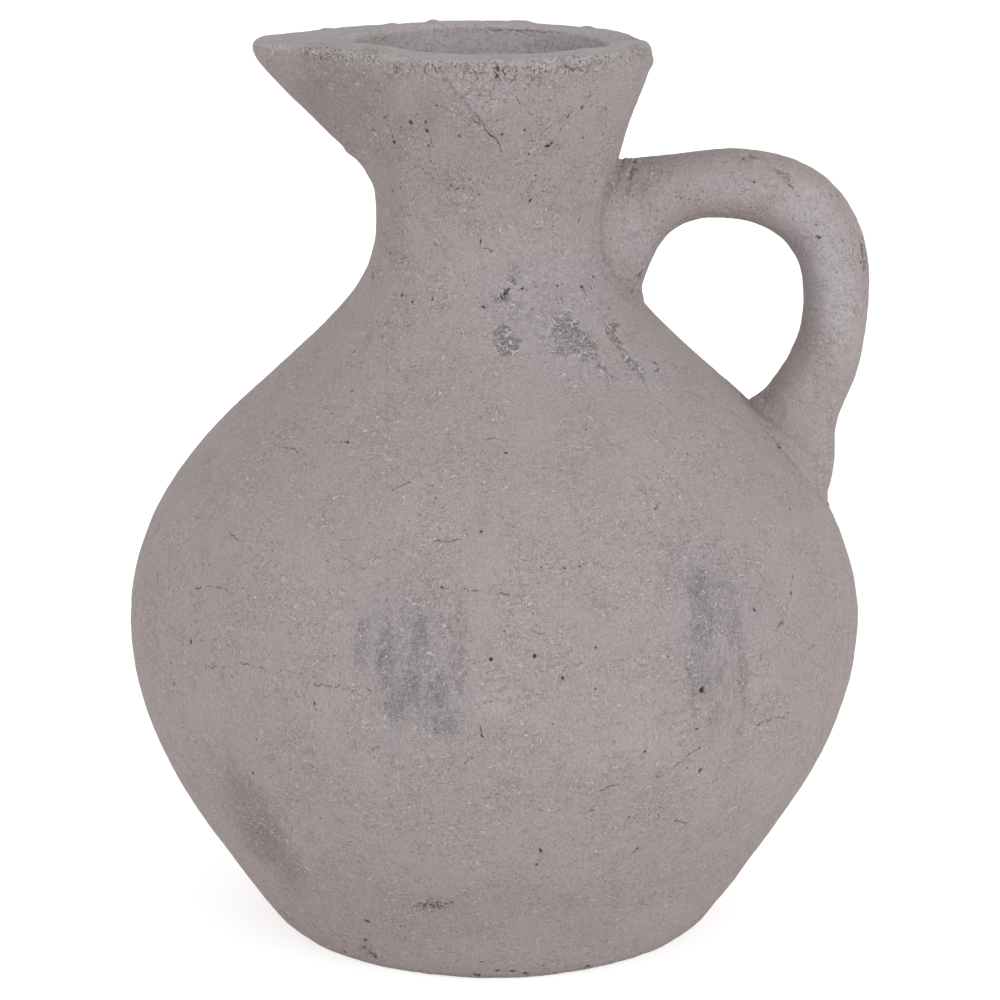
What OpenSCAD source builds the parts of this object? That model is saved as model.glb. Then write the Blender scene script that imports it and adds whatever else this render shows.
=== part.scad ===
// Rough stoneware jug: a round body thrown in sections, with a beaked pouring lip and one strap handle.
// Origin: centre of the foot, on the table. +Z is up, -X points to the spout, +X to the handle.

/* [Body] */
// Height from the table to the top of the rim
jug_h = 300; // [285:1:320]
// Diameter of the foot
foot_d = 153; // [135:1:170]
// Largest diameter, at the belly
belly_d = 249; // [235:1:265]
// Depth of the belly's widest line below the top of the rim
belly_depth = 197; // [190:1:208]
// Diameter half way up the shoulder
shoulder_d = 180; // [170:1:190]
// Drop from the throat to the level at which the shoulder has that diameter
shoulder_drop = 50; // [44:1:56]
// Outer diameter where the neck is set on the shoulder
throat_d = 85; // [80:1:92]
// Depth below the rim of the throat, where the neck is set on the shoulder
throat_depth = 78; // [74:1:84]
// Smallest outer diameter of the neck
neck_d = 77; // [72:1:80]
// Depth of the neck's narrowest line below the rim
neck_depth = 58; // [53:1:62]
// Outer diameter of the neck where the rim coil lies on it
lip_d = 101; // [94:1:108]

/* [Walls] */
// Thickness of the belly and shoulder wall
belly_wall = 9; // [7:0.5:12]
// Thickness of the neck wall
neck_wall = 12; // [9:0.5:14]
// Thickness of the base disc
base_t = 11; // [8:0.5:15]
// Bevel worn round the edge of the foot
foot_bevel = 1; // [0.5:0.5:4]
// Depth below the rim of the join between the lower bowl and the shoulder
belly_join_depth = 182; // [170:1:188]

/* [Rim] */
// Height of the coil that makes the rim
rim_h = 10; // [7:0.5:14]
// How far the rim coil swells past the neck
rim_swell = 1.2; // [0.5:0.1:2.5]
// Width of the flat land on top of the rim
rim_land = 8; // [6:0.5:10]
// Step from the outer bulge of the rim in to the land
rim_shoulder = 2; // [1:0.5:3]

/* [Spout] */
// Distance from the jug's axis to the tip of the spout
spout_reach = 79; // [72:0.5:86]
// Width of the blunt tip of the spout
spout_tip_w = 32; // [26:1:38]
// Depth below the rim at which the spout's keel meets the neck
spout_root_depth = 39; // [34:1:43]
// How far the heel, where the keel turns upward, stands out from the neck
spout_heel_out = 7.5; // [5.5:0.1:10]
// Rise of the keel from the neck to the heel
spout_heel_rise = 2.3; // [1:0.1:5]
// Clay left between the end of the pouring channel and the tip of the spout
spout_lip = 13.1; // [10:0.1:18]
// Depth of the pouring channel at its mid length
channel_drop = 2.5; // [1:0.5:4]

/* [Handle] */
// Distance from the wall at the handle's foot out to the back of the handle
handle_reach = 25.5; // [18:0.1:34]
// Depth of the top of the handle's bend below the rim
handle_top_depth = 36.7; // [32:0.1:41]
// Thickness of the handle strap
handle_t = 22.5; // [18:0.5:26]
// Width of the handle strap
handle_w = 28; // [24:1:34]
// Drop from the top of the handle's bend to the centre of its root on the neck
handle_root_drop = 27.3; // [25:0.1:30]
// Height of the handle's root on the neck
handle_root_h = 48; // [42:1:50]
// Width of the handle's root on the neck
handle_root_w = 32; // [28:1:36]
// Depth below the rim of the centre of the handle's foot on the shoulder
handle_foot_depth = 140; // [136:1:144]
// Height of the handle's foot on the shoulder
handle_foot_h = 34; // [30:1:38]
// Width of the handle's foot on the shoulder
handle_foot_w = 30; // [26:1:36]

/* [Luting clay] */
// Width of the clay smeared round the handle's root
root_smear = 7; // [4:0.5:9]
// Width of the clay pressed round the handle's foot
foot_smear = 6; // [4:0.5:9]
// Width of the clay pressed under the spout's heel
heel_smear = 11; // [7:0.5:12]
// Film of slip between two pieces that are luted together
slip = 0.2; // [0.15:0.05:0.3]

/* [Hidden] */

clay = [0.62, 0.585, 0.575];
clay_dark = [0.56, 0.53, 0.525];
clay_light = [0.68, 0.64, 0.625];

// Outward lean of the wall at the named heights, as rise of radius per rise of height
foot_flare_share = 0.74;
shoulder_lean_share = -1.01;
throat_lean_share = -0.5;
lip_flare_share = 0.32;

// Heights above the table
rim_base_z = jug_h - rim_h;
belly_z = jug_h - belly_depth;
belly_join_z = jug_h - belly_join_depth;
throat_z = jug_h - throat_depth;
shoulder_z = throat_z - shoulder_drop;
neck_z = jug_h - neck_depth;
spout_root_z = jug_h - spout_root_depth;
handle_top_z = jug_h - handle_top_depth;
handle_root_z = handle_top_z - handle_root_drop;
handle_foot_z = jug_h - handle_foot_depth;

// Outer outline of the body: height, radius and lean at each named level
body_levels = [
    [0, foot_d / 2, foot_flare_share],
    [belly_z, belly_d / 2, 0],
    [shoulder_z, shoulder_d / 2, shoulder_lean_share],
    [throat_z, throat_d / 2, throat_lean_share],
    [neck_z, neck_d / 2, 0],
    [rim_base_z, lip_d / 2, lip_flare_share]
];

// How finely the outlines, rings and sections are divided
fine = 96;
ring_steps = 14;
section_sides = 24;
handle_rings = 44;
cap_rings = 6;
rim_arc_steps = 40;
rim_side_steps = 7;
rim_tip_steps = 12;
fillet_rings = 3;
edge_steps = 3;
lean_step_share = 0.0003;
slope_step = jug_h * lean_step_share;

// Smooth step between two values with given end slopes
function hermite(t, from, to, out, in) =
    let (t2 = t * t, t3 = t2 * t)
    (2 * t3 - 3 * t2 + 1) * from + (t3 - 2 * t2 + t) * out
    + (3 * t2 - 2 * t3) * to + (t3 - t2) * in;

// Outer radius of the body at a height
function wall_r(z, level = 0) =
    level < len(body_levels) - 2 && z > body_levels[level + 1][0]
    ? wall_r(z, level + 1)
    : let (low = body_levels[level], high = body_levels[level + 1], rise = high[0] - low[0])
      hermite((z - low[0]) / rise, low[1], high[1], low[2] * rise, high[2] * rise);

function wall_lean(z) = (wall_r(z + slope_step) - wall_r(z - slope_step)) / (2 * slope_step);

// The wall grows from the belly's thickness to the neck's between the shoulder and the narrow of the neck
function wall_t(z) =
    let (share = max(0, min(1, (z - shoulder_z) / (neck_z - shoulder_z))))
    belly_wall + (neck_wall - belly_wall) * share;

function bore_r(z) = wall_r(z) - wall_t(z) * sqrt(1 + pow(wall_lean(z), 2));

function steps(from, to, count) = [for (i = [0:count]) from + (to - from) * i / count];

// A band of the thrown body between two heights
module thrown_band(low_z, high_z) {
    levels = steps(low_z, high_z, ring_steps);
    rotate_extrude($fn = fine)
        polygon(concat(
            [for (z = levels) [wall_r(z), z]],
            [for (i = [ring_steps:-1:0]) [bore_r(levels[i]), levels[i]]]
        ));
}

// Faces between neighbouring rings of points, each ring with the same number of sides
function skin_faces(rings, sides) = [
    for (k = [0:rings - 2]) for (j = [0:sides - 1])
        let (
            a = k * sides + j,
            b = k * sides + (j + 1) % sides,
            c = a + sides,
            d = b + sides
        )
        each [[a, b, c], [b, d, c]]
];

// A closed loop of rings, such as the rim coil: the last ring meets the first
function loop_faces(rings, sides) = [
    for (k = [0:rings - 1]) for (j = [0:sides - 1])
        let (
            next = (k + 1) % rings,
            a = k * sides + j,
            b = k * sides + (j + 1) % sides,
            c = next * sides + j,
            d = next * sides + (j + 1) % sides
        )
        each [[a, b, c], [b, d, c]]
];

// A fan of faces that closes a ring with one point
function fan_faces(ring_start, sides, point, flip) = [
    for (j = [0:sides - 1])
        let (a = ring_start + j, b = ring_start + (j + 1) % sides)
        flip ? [a, b, point] : [b, a, point]
];

// A solid skinned over rings of points, closed at each end by a point
module skinned(rings, start_point, end_point) {
    sides = len(rings[0]);
    count = len(rings);
    polyhedron(
        points = concat([for (ring = rings) each ring], [start_point, end_point]),
        faces = concat(
            skin_faces(count, sides),
            fan_faces(0, sides, count * sides, false),
            fan_faces((count - 1) * sides, sides, count * sides + 1, true)
        )
    );
}

// A point on the outside of the wall, a film of slip away from it, at side distance y and height z
function seat(y, z, side) = [side * sqrt(pow(wall_r(z) + slip, 2) - y * y), y, z];

// Rings that close a seat on the wall: the edge [y, z] points drawn in toward their middle
function seat_rings(edge, middle, side) = [
    for (k = [1:cap_rings])
        [for (p = edge) let (q = middle + (p - middle) * k / cap_rings) seat(q[0], q[1], side)]
];

function reversed(list) = [for (i = [len(list) - 1:-1:0]) list[i]];

function centre_of(points, i = 0) =
    i == len(points) ? [0, 0, 0] : points[i] / len(points) + centre_of(points, i + 1);

// The plan of the rim

rim_widest_r = lip_d / 2 + rim_swell;
spout_tip_r = spout_tip_w / 2;
land_out_r = rim_widest_r - rim_shoulder;
land_in_r = land_out_r - rim_land;
bulge_height_share = 0.4;
edge_height_share = 0.75;
channel_width_share = 0.5;
channel_half_share = 0.5;
channel_start_share = 0.25;
channel_tip_r = spout_tip_r * channel_width_share;
keel_run_x = spout_reach - rim_swell - rim_shoulder;

// A circle round the axis drawn out to a blunt tip on the -X side: points on its big arc, then along
// one straight side, round the tip and back along the other side
function beak_plan(big_r, tip_r, reach, z) =
    let (
        centre_x = reach - tip_r,
        turn = acos((big_r - tip_r) / centre_x),
        leave = 180 - turn,
        big_end = [big_r * cos(leave), big_r * sin(leave)],
        tip_start = [-centre_x + tip_r * cos(leave), tip_r * sin(leave)]
    )
    concat(
        [for (i = [0:rim_arc_steps])
            let (a = -leave + 2 * leave * i / rim_arc_steps) [big_r * cos(a), big_r * sin(a), z]],
        [for (i = [1:rim_side_steps])
            let (p = big_end + (tip_start - big_end) * i / (rim_side_steps + 1)) [p[0], p[1], z]],
        [for (i = [0:rim_tip_steps])
            let (a = leave + 2 * turn * i / rim_tip_steps)
            [-centre_x + tip_r * cos(a), tip_r * sin(a), z]],
        [for (i = [rim_side_steps:-1:1])
            let (p = big_end + (tip_start - big_end) * i / (rim_side_steps + 1)) [p[0], -p[1], z]]
    );

// Half width of that plan at a distance x out from the axis, beyond the big circle's tangent point
function beak_half_width(big_r, tip_r, reach, x) =
    let (
        centre_x = reach - tip_r,
        turn = acos((big_r - tip_r) / centre_x),
        tip_x = centre_x + tip_r * cos(turn),
        side_y = (big_r - x * cos(turn)) / sin(turn)
    )
    x < tip_x ? side_y : sqrt(max(0, tip_r * tip_r - pow(x - centre_x, 2)));

// Base and thrown sections

module base_disc() {
    levels = steps(foot_bevel, base_t, edge_steps);
    color(clay_dark)
        rotate_extrude($fn = fine)
            polygon(concat(
                [[0, 0], [wall_r(0) - foot_bevel, 0]],
                [for (z = levels) [wall_r(z), z]],
                [[0, base_t]]
            ));
}

module lower_bowl() {
    color(clay) thrown_band(base_t, belly_join_z);
}

module shoulder() {
    color(clay_light) thrown_band(belly_join_z, throat_z);
}

module neck() {
    color(clay) thrown_band(throat_z, rim_base_z);
}

// Rim coil: a closed coil that follows the mouth and the spout, with the pouring channel in its tip

module rim_coil() {
    bore = bore_r(rim_base_z);
    channel_run = spout_reach - spout_lip - bore;
    bulge_z = rim_base_z + rim_h * bulge_height_share;
    edge_z = rim_base_z + rim_h * edge_height_share;
    loops = [
        beak_plan(lip_d / 2, spout_tip_r, keel_run_x, rim_base_z),
        beak_plan(rim_widest_r, spout_tip_r, spout_reach - rim_swell / 2, bulge_z),
        beak_plan(rim_widest_r - rim_shoulder / 2, spout_tip_r, spout_reach, edge_z),
        beak_plan(land_out_r, spout_tip_r - rim_shoulder, spout_reach - rim_shoulder, jug_h),
        beak_plan(land_in_r, channel_tip_r, bore + channel_run, jug_h),
        beak_plan(bore, channel_tip_r, bore + channel_run * channel_half_share, jug_h - channel_drop),
        beak_plan(bore, channel_tip_r, bore + channel_run * channel_start_share, rim_base_z)
    ];
    sides = len(loops[0]);
    color(clay_light)
        polyhedron(points = [for (ring = loops) each reversed(ring)], faces = loop_faces(len(loops), sides));
}

// Spout: the solid beak under the rim coil, luted to the outside of the neck

// Places along the beak, from the heel to the tip, as shares of that run
beak_places_shares = [0, 0.2, 0.4, 0.6, 0.75, 0.87, 0.95];
spout_edge_share = 0.86;
spout_leave = acos((lip_d / 2 - spout_tip_r) / (keel_run_x - spout_tip_r));
spout_seat_w = lip_d / 2 * sin(spout_leave) * spout_edge_share;
spout_heel_z = spout_root_z + spout_heel_rise;
spout_heel_x = wall_r(spout_root_z) + spout_heel_out;
beak_start_x = lip_d / 2 + rim_shoulder;
keel_sides = 17;
lid_sides = 11;

// A section's edge: a keeled curve below and a straight top, as [y, z]
function keel_curve(half_w, keel_z) = [
    for (i = [0:keel_sides - 1])
        let (t = 2 * i / (keel_sides - 1) - 1) [half_w * t, keel_z + (rim_base_z - keel_z) * t * t]
];
function keel_section(half_w, keel_z) = concat(
    keel_curve(half_w, keel_z),
    [for (i = [1:lid_sides]) [half_w * (1 - 2 * i / (lid_sides + 1)), rim_base_z]]
);

spout_seat_edge = keel_section(spout_seat_w, spout_root_z);
spout_seat_middle = [0, (spout_root_z + rim_base_z * 2) / 3];

// Each section leans out from its keel to its top, so that the first one clears the flare of the neck
function beak_section(share) =
    let (
        keel_x = spout_heel_x + (keel_run_x - spout_heel_x) * share,
        top_x = beak_start_x + (keel_run_x - beak_start_x) * share,
        z = spout_heel_z + (rim_base_z - spout_heel_z) * share,
        half_w = beak_half_width(lip_d / 2, spout_tip_r, keel_run_x, top_x)
    )
    [for (p = keel_section(half_w, z))
        [-keel_x - (top_x - keel_x) * (p[1] - z) / (rim_base_z - z), p[0], p[1]]];

module spout() {
    beak = [for (share = beak_places_shares) beak_section(share)];
    last = beak[len(beak) - 1];
    color(clay_dark)
        skinned(
            concat(seat_rings(spout_seat_edge, spout_seat_middle, -1), beak),
            seat(spout_seat_middle[0], spout_seat_middle[1], -1),
            (last[0] + last[keel_sides - 1] + last[(keel_sides - 1) / 2]) / 3
        );
}

// Clay pressed under the spout's heel: a crescent that thins out up each side of the spout

heel_span_share = 0.8;
heel_rest_share = 0.05;
heel_hollow_share = 0.12;
heel_cover_share = 0.95;

function heel_section(t) =
    let (
        drop = rim_base_z - spout_root_z,
        swell = heel_rest_share + (1 - heel_rest_share) * (1 - pow(t / heel_span_share, 2)),
        y = spout_seat_w * t,
        z = spout_root_z + drop * t * t,
        across = [2 * drop * t, -spout_seat_w] / norm([2 * drop * t, -spout_seat_w]),
        inner = [y, z] + across * slip,
        middle = [y, z] + across * (slip + heel_smear * swell / 2),
        outer = [y, z] + across * (slip + heel_smear * swell),
        heel = beak_section(0)[round((t + 1) / 2 * (keel_sides - 1))],
        on_wall = seat(inner[0], inner[1], -1),
        on_heel = on_wall + (heel + [0, across[0], across[1]] * slip - on_wall) * swell * heel_cover_share,
        foot = seat(outer[0], outer[1], -1),
        hollow = (on_heel + foot) / 2 * (1 - heel_hollow_share) + on_wall * heel_hollow_share
    )
    [on_wall, on_heel, hollow, foot, seat(middle[0], middle[1], -1)];

module spout_heel_fillet() {
    ends = floor(heel_span_share * (keel_sides - 1) / 2);
    sections = [for (i = [-ends:ends]) heel_section(2 * i / (keel_sides - 1))];
    color(clay_light)
        skinned(sections, centre_of(sections[0]), centre_of(sections[len(sections) - 1]));
}

// Handle: a strap from the neck, over and down to the shoulder

handle_centre_x = wall_r(handle_foot_z) + handle_reach - handle_t / 2;
handle_crown_z = handle_top_z - handle_t / 2;

// The wall's radius above and below the middle of each end of the strap
root_top_r = wall_r(handle_root_z + handle_root_h / 2);
root_low_r = wall_r(handle_root_z - handle_root_h / 2);
foot_top_r = wall_r(handle_foot_z + handle_foot_h / 2);
foot_low_r = wall_r(handle_foot_z - handle_foot_h / 2);
root_x = (root_top_r + root_low_r) / 2;
foot_x = (foot_top_r + foot_low_r) / 2;
root_lean = atan2(handle_root_h, root_top_r - root_low_r);
foot_lean = atan2(-handle_foot_h, foot_low_r - foot_top_r);

// Route of the strap's centre line between root and foot. Each row holds the share of the way out
// from the root to the back, the share of the way up from the foot to the crown, the thickness and
// the width as shares of the strap's own, and the lean of the section in degrees from level
handle_route_shares = [
    [0.11, 0.9, 1.55, 1.07, 96],
    [0.22, 0.958, 1.17, 1, 92],
    [0.42, 1.0, 1.0, 1, 90],
    [0.655, 0.983, 1.05, 1, 76],
    [0.835, 0.913, 1.1, 1, 56],
    [0.958, 0.782, 1.08, 1, 36],
    [1.0, 0.59, 0.98, 1, 9],
    [0.99, 0.45, 0.95, 1, -5],
    [0.93, 0.28, 1.02, 1.02, -13],
    [0.872, 0.163, 1.15, 1.05, -30]
];

// Stations of the strap: centre x and z, half thickness, half width and lean
root_half_t = norm([handle_root_h, root_low_r - root_top_r]) / 2;
foot_half_t = norm([handle_foot_h, foot_low_r - foot_top_r]) / 2;
handle_stations = concat(
    [[root_x, handle_root_z, root_half_t, handle_root_w / 2, root_lean]],
    [for (row = handle_route_shares) [
        root_x + (handle_centre_x - root_x) * row[0],
        handle_foot_z + (handle_crown_z - handle_foot_z) * row[1],
        handle_t / 2 * row[2],
        handle_w / 2 * row[3],
        row[4]
    ]],
    [[foot_x, handle_foot_z, foot_half_t, handle_foot_w / 2, foot_lean]]
);

// Smooth route through the stations
function station_at(place) =
    let (
        last = len(handle_stations) - 1,
        i = min(floor(place), last - 1),
        t = place - i,
        from = handle_stations[i],
        to = handle_stations[i + 1],
        before = handle_stations[max(i - 1, 0)],
        after = handle_stations[min(i + 2, last)]
    )
    hermite(t, from, to, (to - before) / 2, (after - from) / 2);

// One ring of the strap, grown outward by an amount
function handle_ring(k, grow) =
    let (
        s = station_at(k / handle_rings * (len(handle_stations) - 1)),
        at_root = k == 0,
        at_foot = k == handle_rings
    )
    [for (j = [0:section_sides - 1])
        let (
            a = 360 * j / section_sides,
            out = (s[2] + grow) * cos(a),
            y = (s[3] + grow) * sin(a)
        )
        at_root ? seat(y, handle_root_z + (handle_root_h / 2 + grow) * cos(a), 1)
        : at_foot ? seat(y, handle_foot_z - (handle_foot_h / 2 + grow) * cos(a), 1)
        : [s[0] + out * cos(s[4]), y, s[1] + out * sin(s[4])]
    ];

root_edge = [for (p = handle_ring(0, 0)) [p[1], p[2]]];
foot_edge = [for (p = handle_ring(handle_rings, 0)) [p[1], p[2]]];

module handle() {
    root_rings = seat_rings(root_edge, [0, handle_root_z], 1);
    foot_rings = reversed(seat_rings(foot_edge, [0, handle_foot_z], 1));
    strap = [for (k = [1:handle_rings - 1]) handle_ring(k, 0)];
    color(clay)
        skinned(
            concat(root_rings, strap, foot_rings),
            seat(0, handle_root_z, 1),
            seat(0, handle_foot_z, 1)
        );
}

// Clay smeared round an end of the handle, from the wall up onto the strap

smear_thin_share = 0.35;
smear_hollow_share = 0.22;

function smear_section(j, end, inward, smear) =
    let (
        a = 360 * j / section_sides,
        reach = smear * (smear_thin_share + (1 - smear_thin_share) * pow(sin(a), 2)),
        on_strap = [for (i = [0:fillet_rings - 1]) handle_ring(end + inward * i, slip)[j]],
        root = on_strap[0],
        foot = handle_ring(end, slip + reach)[j],
        top = on_strap[fillet_rings - 1],
        hollow = (foot + top) / 2 * (1 - smear_hollow_share) + root * smear_hollow_share,
        middle = handle_ring(end, slip + reach / 2)[j]
    )
    concat(on_strap, [hollow, foot, middle]);

module end_smear(end, inward, smear) {
    sections = [for (j = [0:section_sides - 1]) smear_section(j, end, inward, smear)];
    sides = len(sections[0]);
    order = inward > 0 ? [for (s = sections) each s] : [for (s = sections) each reversed(s)];
    polyhedron(points = order, faces = loop_faces(section_sides, sides));
}

module handle_root_fillet() {
    color(clay_light) end_smear(0, 1, root_smear);
}

module handle_foot_fillet() {
    color(clay_light) end_smear(handle_rings, -1, foot_smear);
}

base_disc();
lower_bowl();
shoulder();
neck();
rim_coil();
spout();
spout_heel_fillet();
handle();
handle_root_fillet();
handle_foot_fillet();
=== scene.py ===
"""Looks of the stoneware jug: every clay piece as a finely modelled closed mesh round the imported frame.

Lengths in the shape code are millimetres in the row frame: +Z up, -X to the spout, +X to the handle.
A mark placed by named pixels of the 1000 x 1000 view lands on the clay through the scene's own camera.
"""
import itertools
import math

import bpy
import numpy as np
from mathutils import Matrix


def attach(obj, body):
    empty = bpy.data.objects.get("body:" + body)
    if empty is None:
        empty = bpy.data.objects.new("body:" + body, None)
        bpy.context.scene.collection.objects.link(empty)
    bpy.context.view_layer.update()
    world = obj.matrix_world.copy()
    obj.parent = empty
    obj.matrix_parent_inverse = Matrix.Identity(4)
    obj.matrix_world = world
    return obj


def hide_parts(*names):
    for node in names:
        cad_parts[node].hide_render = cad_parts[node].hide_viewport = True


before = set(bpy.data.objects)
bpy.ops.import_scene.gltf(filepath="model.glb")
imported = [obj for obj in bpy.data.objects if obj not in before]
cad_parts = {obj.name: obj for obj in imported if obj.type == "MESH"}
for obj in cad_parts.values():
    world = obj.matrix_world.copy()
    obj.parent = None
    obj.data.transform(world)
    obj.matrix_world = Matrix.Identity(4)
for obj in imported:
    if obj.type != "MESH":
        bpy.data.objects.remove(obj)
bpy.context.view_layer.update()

MM = 0.001

# Camera

CAM_BACK, CAM_UP = 1080.0, 440.9
CAM_PITCH = math.radians(15.431)
CAM_LENS, CAM_SENSOR = 118.38, 36.0
PHOTO_W = 1000.0
AXIS_U = 492.27
FOCAL_PX = PHOTO_W * CAM_LENS / CAM_SENSOR
CAM_AT = np.array([0.0, -CAM_BACK, CAM_UP])
CAM_RIGHT = np.array([1.0, 0.0, 0.0])
CAM_FORWARD = np.array([0.0, math.cos(CAM_PITCH), -math.sin(CAM_PITCH)])
CAM_TOP = np.array([0.0, math.sin(CAM_PITCH), math.cos(CAM_PITCH)])
RAY_STEPS, FAR_OFF = 4000, 99.0


def to_pixels(points):
    """Pixel columns, pixel rows and depths of points."""
    away = points - CAM_AT
    depth = away @ CAM_FORWARD
    u = AXIS_U + FOCAL_PX * (away @ CAM_RIGHT) / depth
    v = PHOTO_W / 2 - FOCAL_PX * (away @ CAM_TOP) / depth
    return u, v, depth


def pixel_ray(u, v):
    """Direction from the camera through a pixel."""
    ray = CAM_FORWARD + CAM_RIGHT * (u - AXIS_U) / FOCAL_PX + CAM_TOP * (PHOTO_W / 2 - v) / FOCAL_PX
    return ray / np.linalg.norm(ray)


# Numbers and noise

def smooth(x, low, high):
    """From 0 at low to 1 at high, with soft ends."""
    t = np.clip((x - low) / (high - low), 0.0, 1.0)
    return t * t * (3 - 2 * t)


def hump(x, middle, width):
    """A round hump, 1 at its middle."""
    return np.exp(-(((x - middle) / width) ** 2))


def swell(z, form):
    """How far a swell of the clay stands out at height z: its form is a size, a middle and a spread."""
    size, middle, spread = form
    return size * hump(z, middle, spread)


def soft_positive(x, soft):
    """x where it is well above 0, nearly 0 where it is below, and a soft bend between."""
    return soft * np.log1p(np.exp(x / soft))


def run_along(steps):
    """How far each point of a line is from its start, from the steps between them."""
    return np.concatenate([[0], np.cumsum(steps)])


def turned_about(axis, angle):
    """The matrix of a turn about one of the axes."""
    c, n = math.cos(angle), math.sin(angle)
    i, j = [k for k in range(3) if k != axis]
    matrix = np.eye(3)
    matrix[i, i], matrix[i, j], matrix[j, i], matrix[j, j] = c, -n, n, c
    return matrix


# The lattice is turned between layers, so that it doesn't show
NOISE_TURN = turned_about(2, 0.7) @ turned_about(0, 1.1)
LAYER_SHIFT, LAYER_SEEDS, NOISE_GAIN = 17.3, 31, 1.35
# Odd numbers that scramble a cell's place and the seed into the index of an arrow
HASH_PLACE, HASH_SEED, HASH_MIXES = (374761393, 668265263, 1442695041), 974634777, (1274126177, 2246822519)
HASH_BITS = 0xFFFFFFFF
LATTICE_ARROWS = np.array([v for v in itertools.product((-1, 0, 1), repeat=3) if v.count(0) == 1], float)


def lattice_noise(p, seed):
    """Smooth gradient noise from about -1 to 1 at points p, one unit to a cell."""
    cell = np.floor(p).astype(np.int64)
    f = p - cell
    w = f * f * f * (f * (f * 6 - 15) + 10)
    total = np.zeros(len(p))
    for corner in range(8):
        d = [(corner >> k) & 1 for k in range(3)]
        h = (sum((cell[:, k] + d[k]) * HASH_PLACE[k] for k in range(3)) + seed * HASH_SEED) & HASH_BITS
        h = ((h ^ (h >> 13)) * HASH_MIXES[0]) & HASH_BITS
        h = ((h ^ (h >> 16)) * HASH_MIXES[1]) & HASH_BITS
        arrow = LATTICE_ARROWS[(h ^ (h >> 13)) % len(LATTICE_ARROWS)]
        share = ((f - d) * arrow).sum(1)
        for k in range(3):
            share *= w[:, k] if d[k] else 1 - w[:, k]
        total += share
    return total * NOISE_GAIN


def cloud(p, cell, seed, octaves=2):
    """Layered noise with features of about cell millimetres."""
    total = np.zeros(len(p))
    q = p / cell
    for k in range(octaves):
        q = q @ NOISE_TURN
        total += lattice_noise(q * 2 ** k + LAYER_SHIFT * (k + 1), seed + LAYER_SEEDS * k) * 0.5 ** k
    return total


# Form of the body, neck, spout and rim

JUG_H, FOOT_R, BELLY_R, BELLY_Z = 300.0, 76.5, 124.5, 103.0
SHOULDER_R, SHOULDER_Z, THROAT_R, THROAT_Z = 90.0, 172.0, 42.5, 222.0
NECK_R, NECK_Z, LIP_R, RIM_BASE_Z = 38.5, 242.0, 50.5, 290.0
BASE_T, JOIN_Z = 11.0, 118.0
BELLY_WALL, NECK_WALL = 9.0, 12.0
LIP_LEAN = 0.32
# Levels of the thrown form: height, radius and how fast the radius grows with height
BODY_LEVELS = (
    (0.0, FOOT_R, 0.74), (BELLY_Z, BELLY_R, 0.0), (SHOULDER_Z, SHOULDER_R, -1.01),
    (THROAT_Z, THROAT_R, -0.5), (NECK_Z, NECK_R, 0.0), (RIM_BASE_Z, LIP_R, LIP_LEAN),
)
NECK_SHIFT = 0.4
SPOUT_REACH, SPOUT_TIP_R, SPOUT_BOW = 78.6, 15.5, 2.6
HEEL_X, HEEL_Z = 47.9, 263.3
MOUTH_R, MOUTH_TIP_R, MOUTH_REACH = 38.3, 15.0, 46.0
# Swells on the round form, as size, middle height and spread. A size below 0 is a hollow.
SHOULDER_SWELL, SHOULDER_SWELL_TURN = (1.9, 187.0, 24.0), 0.2
BELLY_SWELL, BELLY_HOLLOW, FOOT_HOLLOW = (0.4, 96.0, 44.0), (-0.8, 96.0, 44.0), (-0.7, 30.0, 17.0)
NECK_SWELL, LIP_SWELL = (0.7, 258.0, 14.0), (1.5, 289.0, 13.0)
HEEL_BUMPS = ((0.8, 262.6, 1.5), (0.9, 254.5, 2.6))
FLARE_END_Z, RIM_TUCK, RIM_TUCK_LOW_Z, RIM_TUCK_HIGH_Z = RIM_BASE_Z + 4, 1.2, 296.0, 301.0
# The spout's underside: its slope, its softness where it meets the wall, and the heights where it fades in
KEEL_SLOPE, KEEL_SOFT, KEEL_LOW_Z, KEEL_HIGH_Z = 0.985, 1.6, 243.0, 253.0
SPOUT_LOW_WIDER, SPOUT_BOW_ANGLE = 6.5, 1.3


def thrown_r(z):
    """Radius of the thrown form at height z, before the spout is drawn out."""
    z = np.asarray(z, float)
    r = np.zeros_like(z)
    for low, high in zip(BODY_LEVELS, BODY_LEVELS[1:]):
        rise = high[0] - low[0]
        t = (z - low[0]) / rise
        part = ((2 * t ** 3 - 3 * t ** 2 + 1) * low[1] + (t ** 3 - 2 * t ** 2 + t) * low[2] * rise
                + (3 * t ** 2 - 2 * t ** 3) * high[1] + (t ** 3 - t ** 2) * high[2] * rise)
        first, last = low is BODY_LEVELS[0], high is BODY_LEVELS[-1]
        here = (first | (z >= low[0])) & (last | (z < high[0]))
        r = np.where(here, part, r)
    return r


TABLE_Z = np.arange(-1.0, JUG_H + 2.0, 0.01)
TABLE_R = thrown_r(TABLE_Z)


def round_r(z):
    """The same radius, read from a fine table, which is much quicker."""
    return np.interp(z, TABLE_Z, TABLE_R)


def beak(turned, big_r, tip_r, reach):
    """Radius, at an angle from -X, of a circle drawn out to a blunt tip on that side."""
    centre = np.maximum(reach - tip_r, 1e-3)
    leave = np.arccos(np.clip((big_r - tip_r) / centre, -1.0, 1.0))
    side = big_r / np.maximum(np.cos(leave - turned), 0.2)
    under = tip_r ** 2 - (centre * np.sin(turned)) ** 2
    tip = centre * np.cos(turned) + np.sqrt(np.maximum(under, 0.0))
    meets = np.arctan2(tip_r * np.sin(leave), centre + tip_r * np.cos(leave))
    r = np.where(turned < meets, tip, np.where(turned < leave, side, big_r))
    bow = np.clip((turned - meets) / np.maximum(leave - meets, 1e-3), 0.0, 1.0)
    return r, bow


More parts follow.
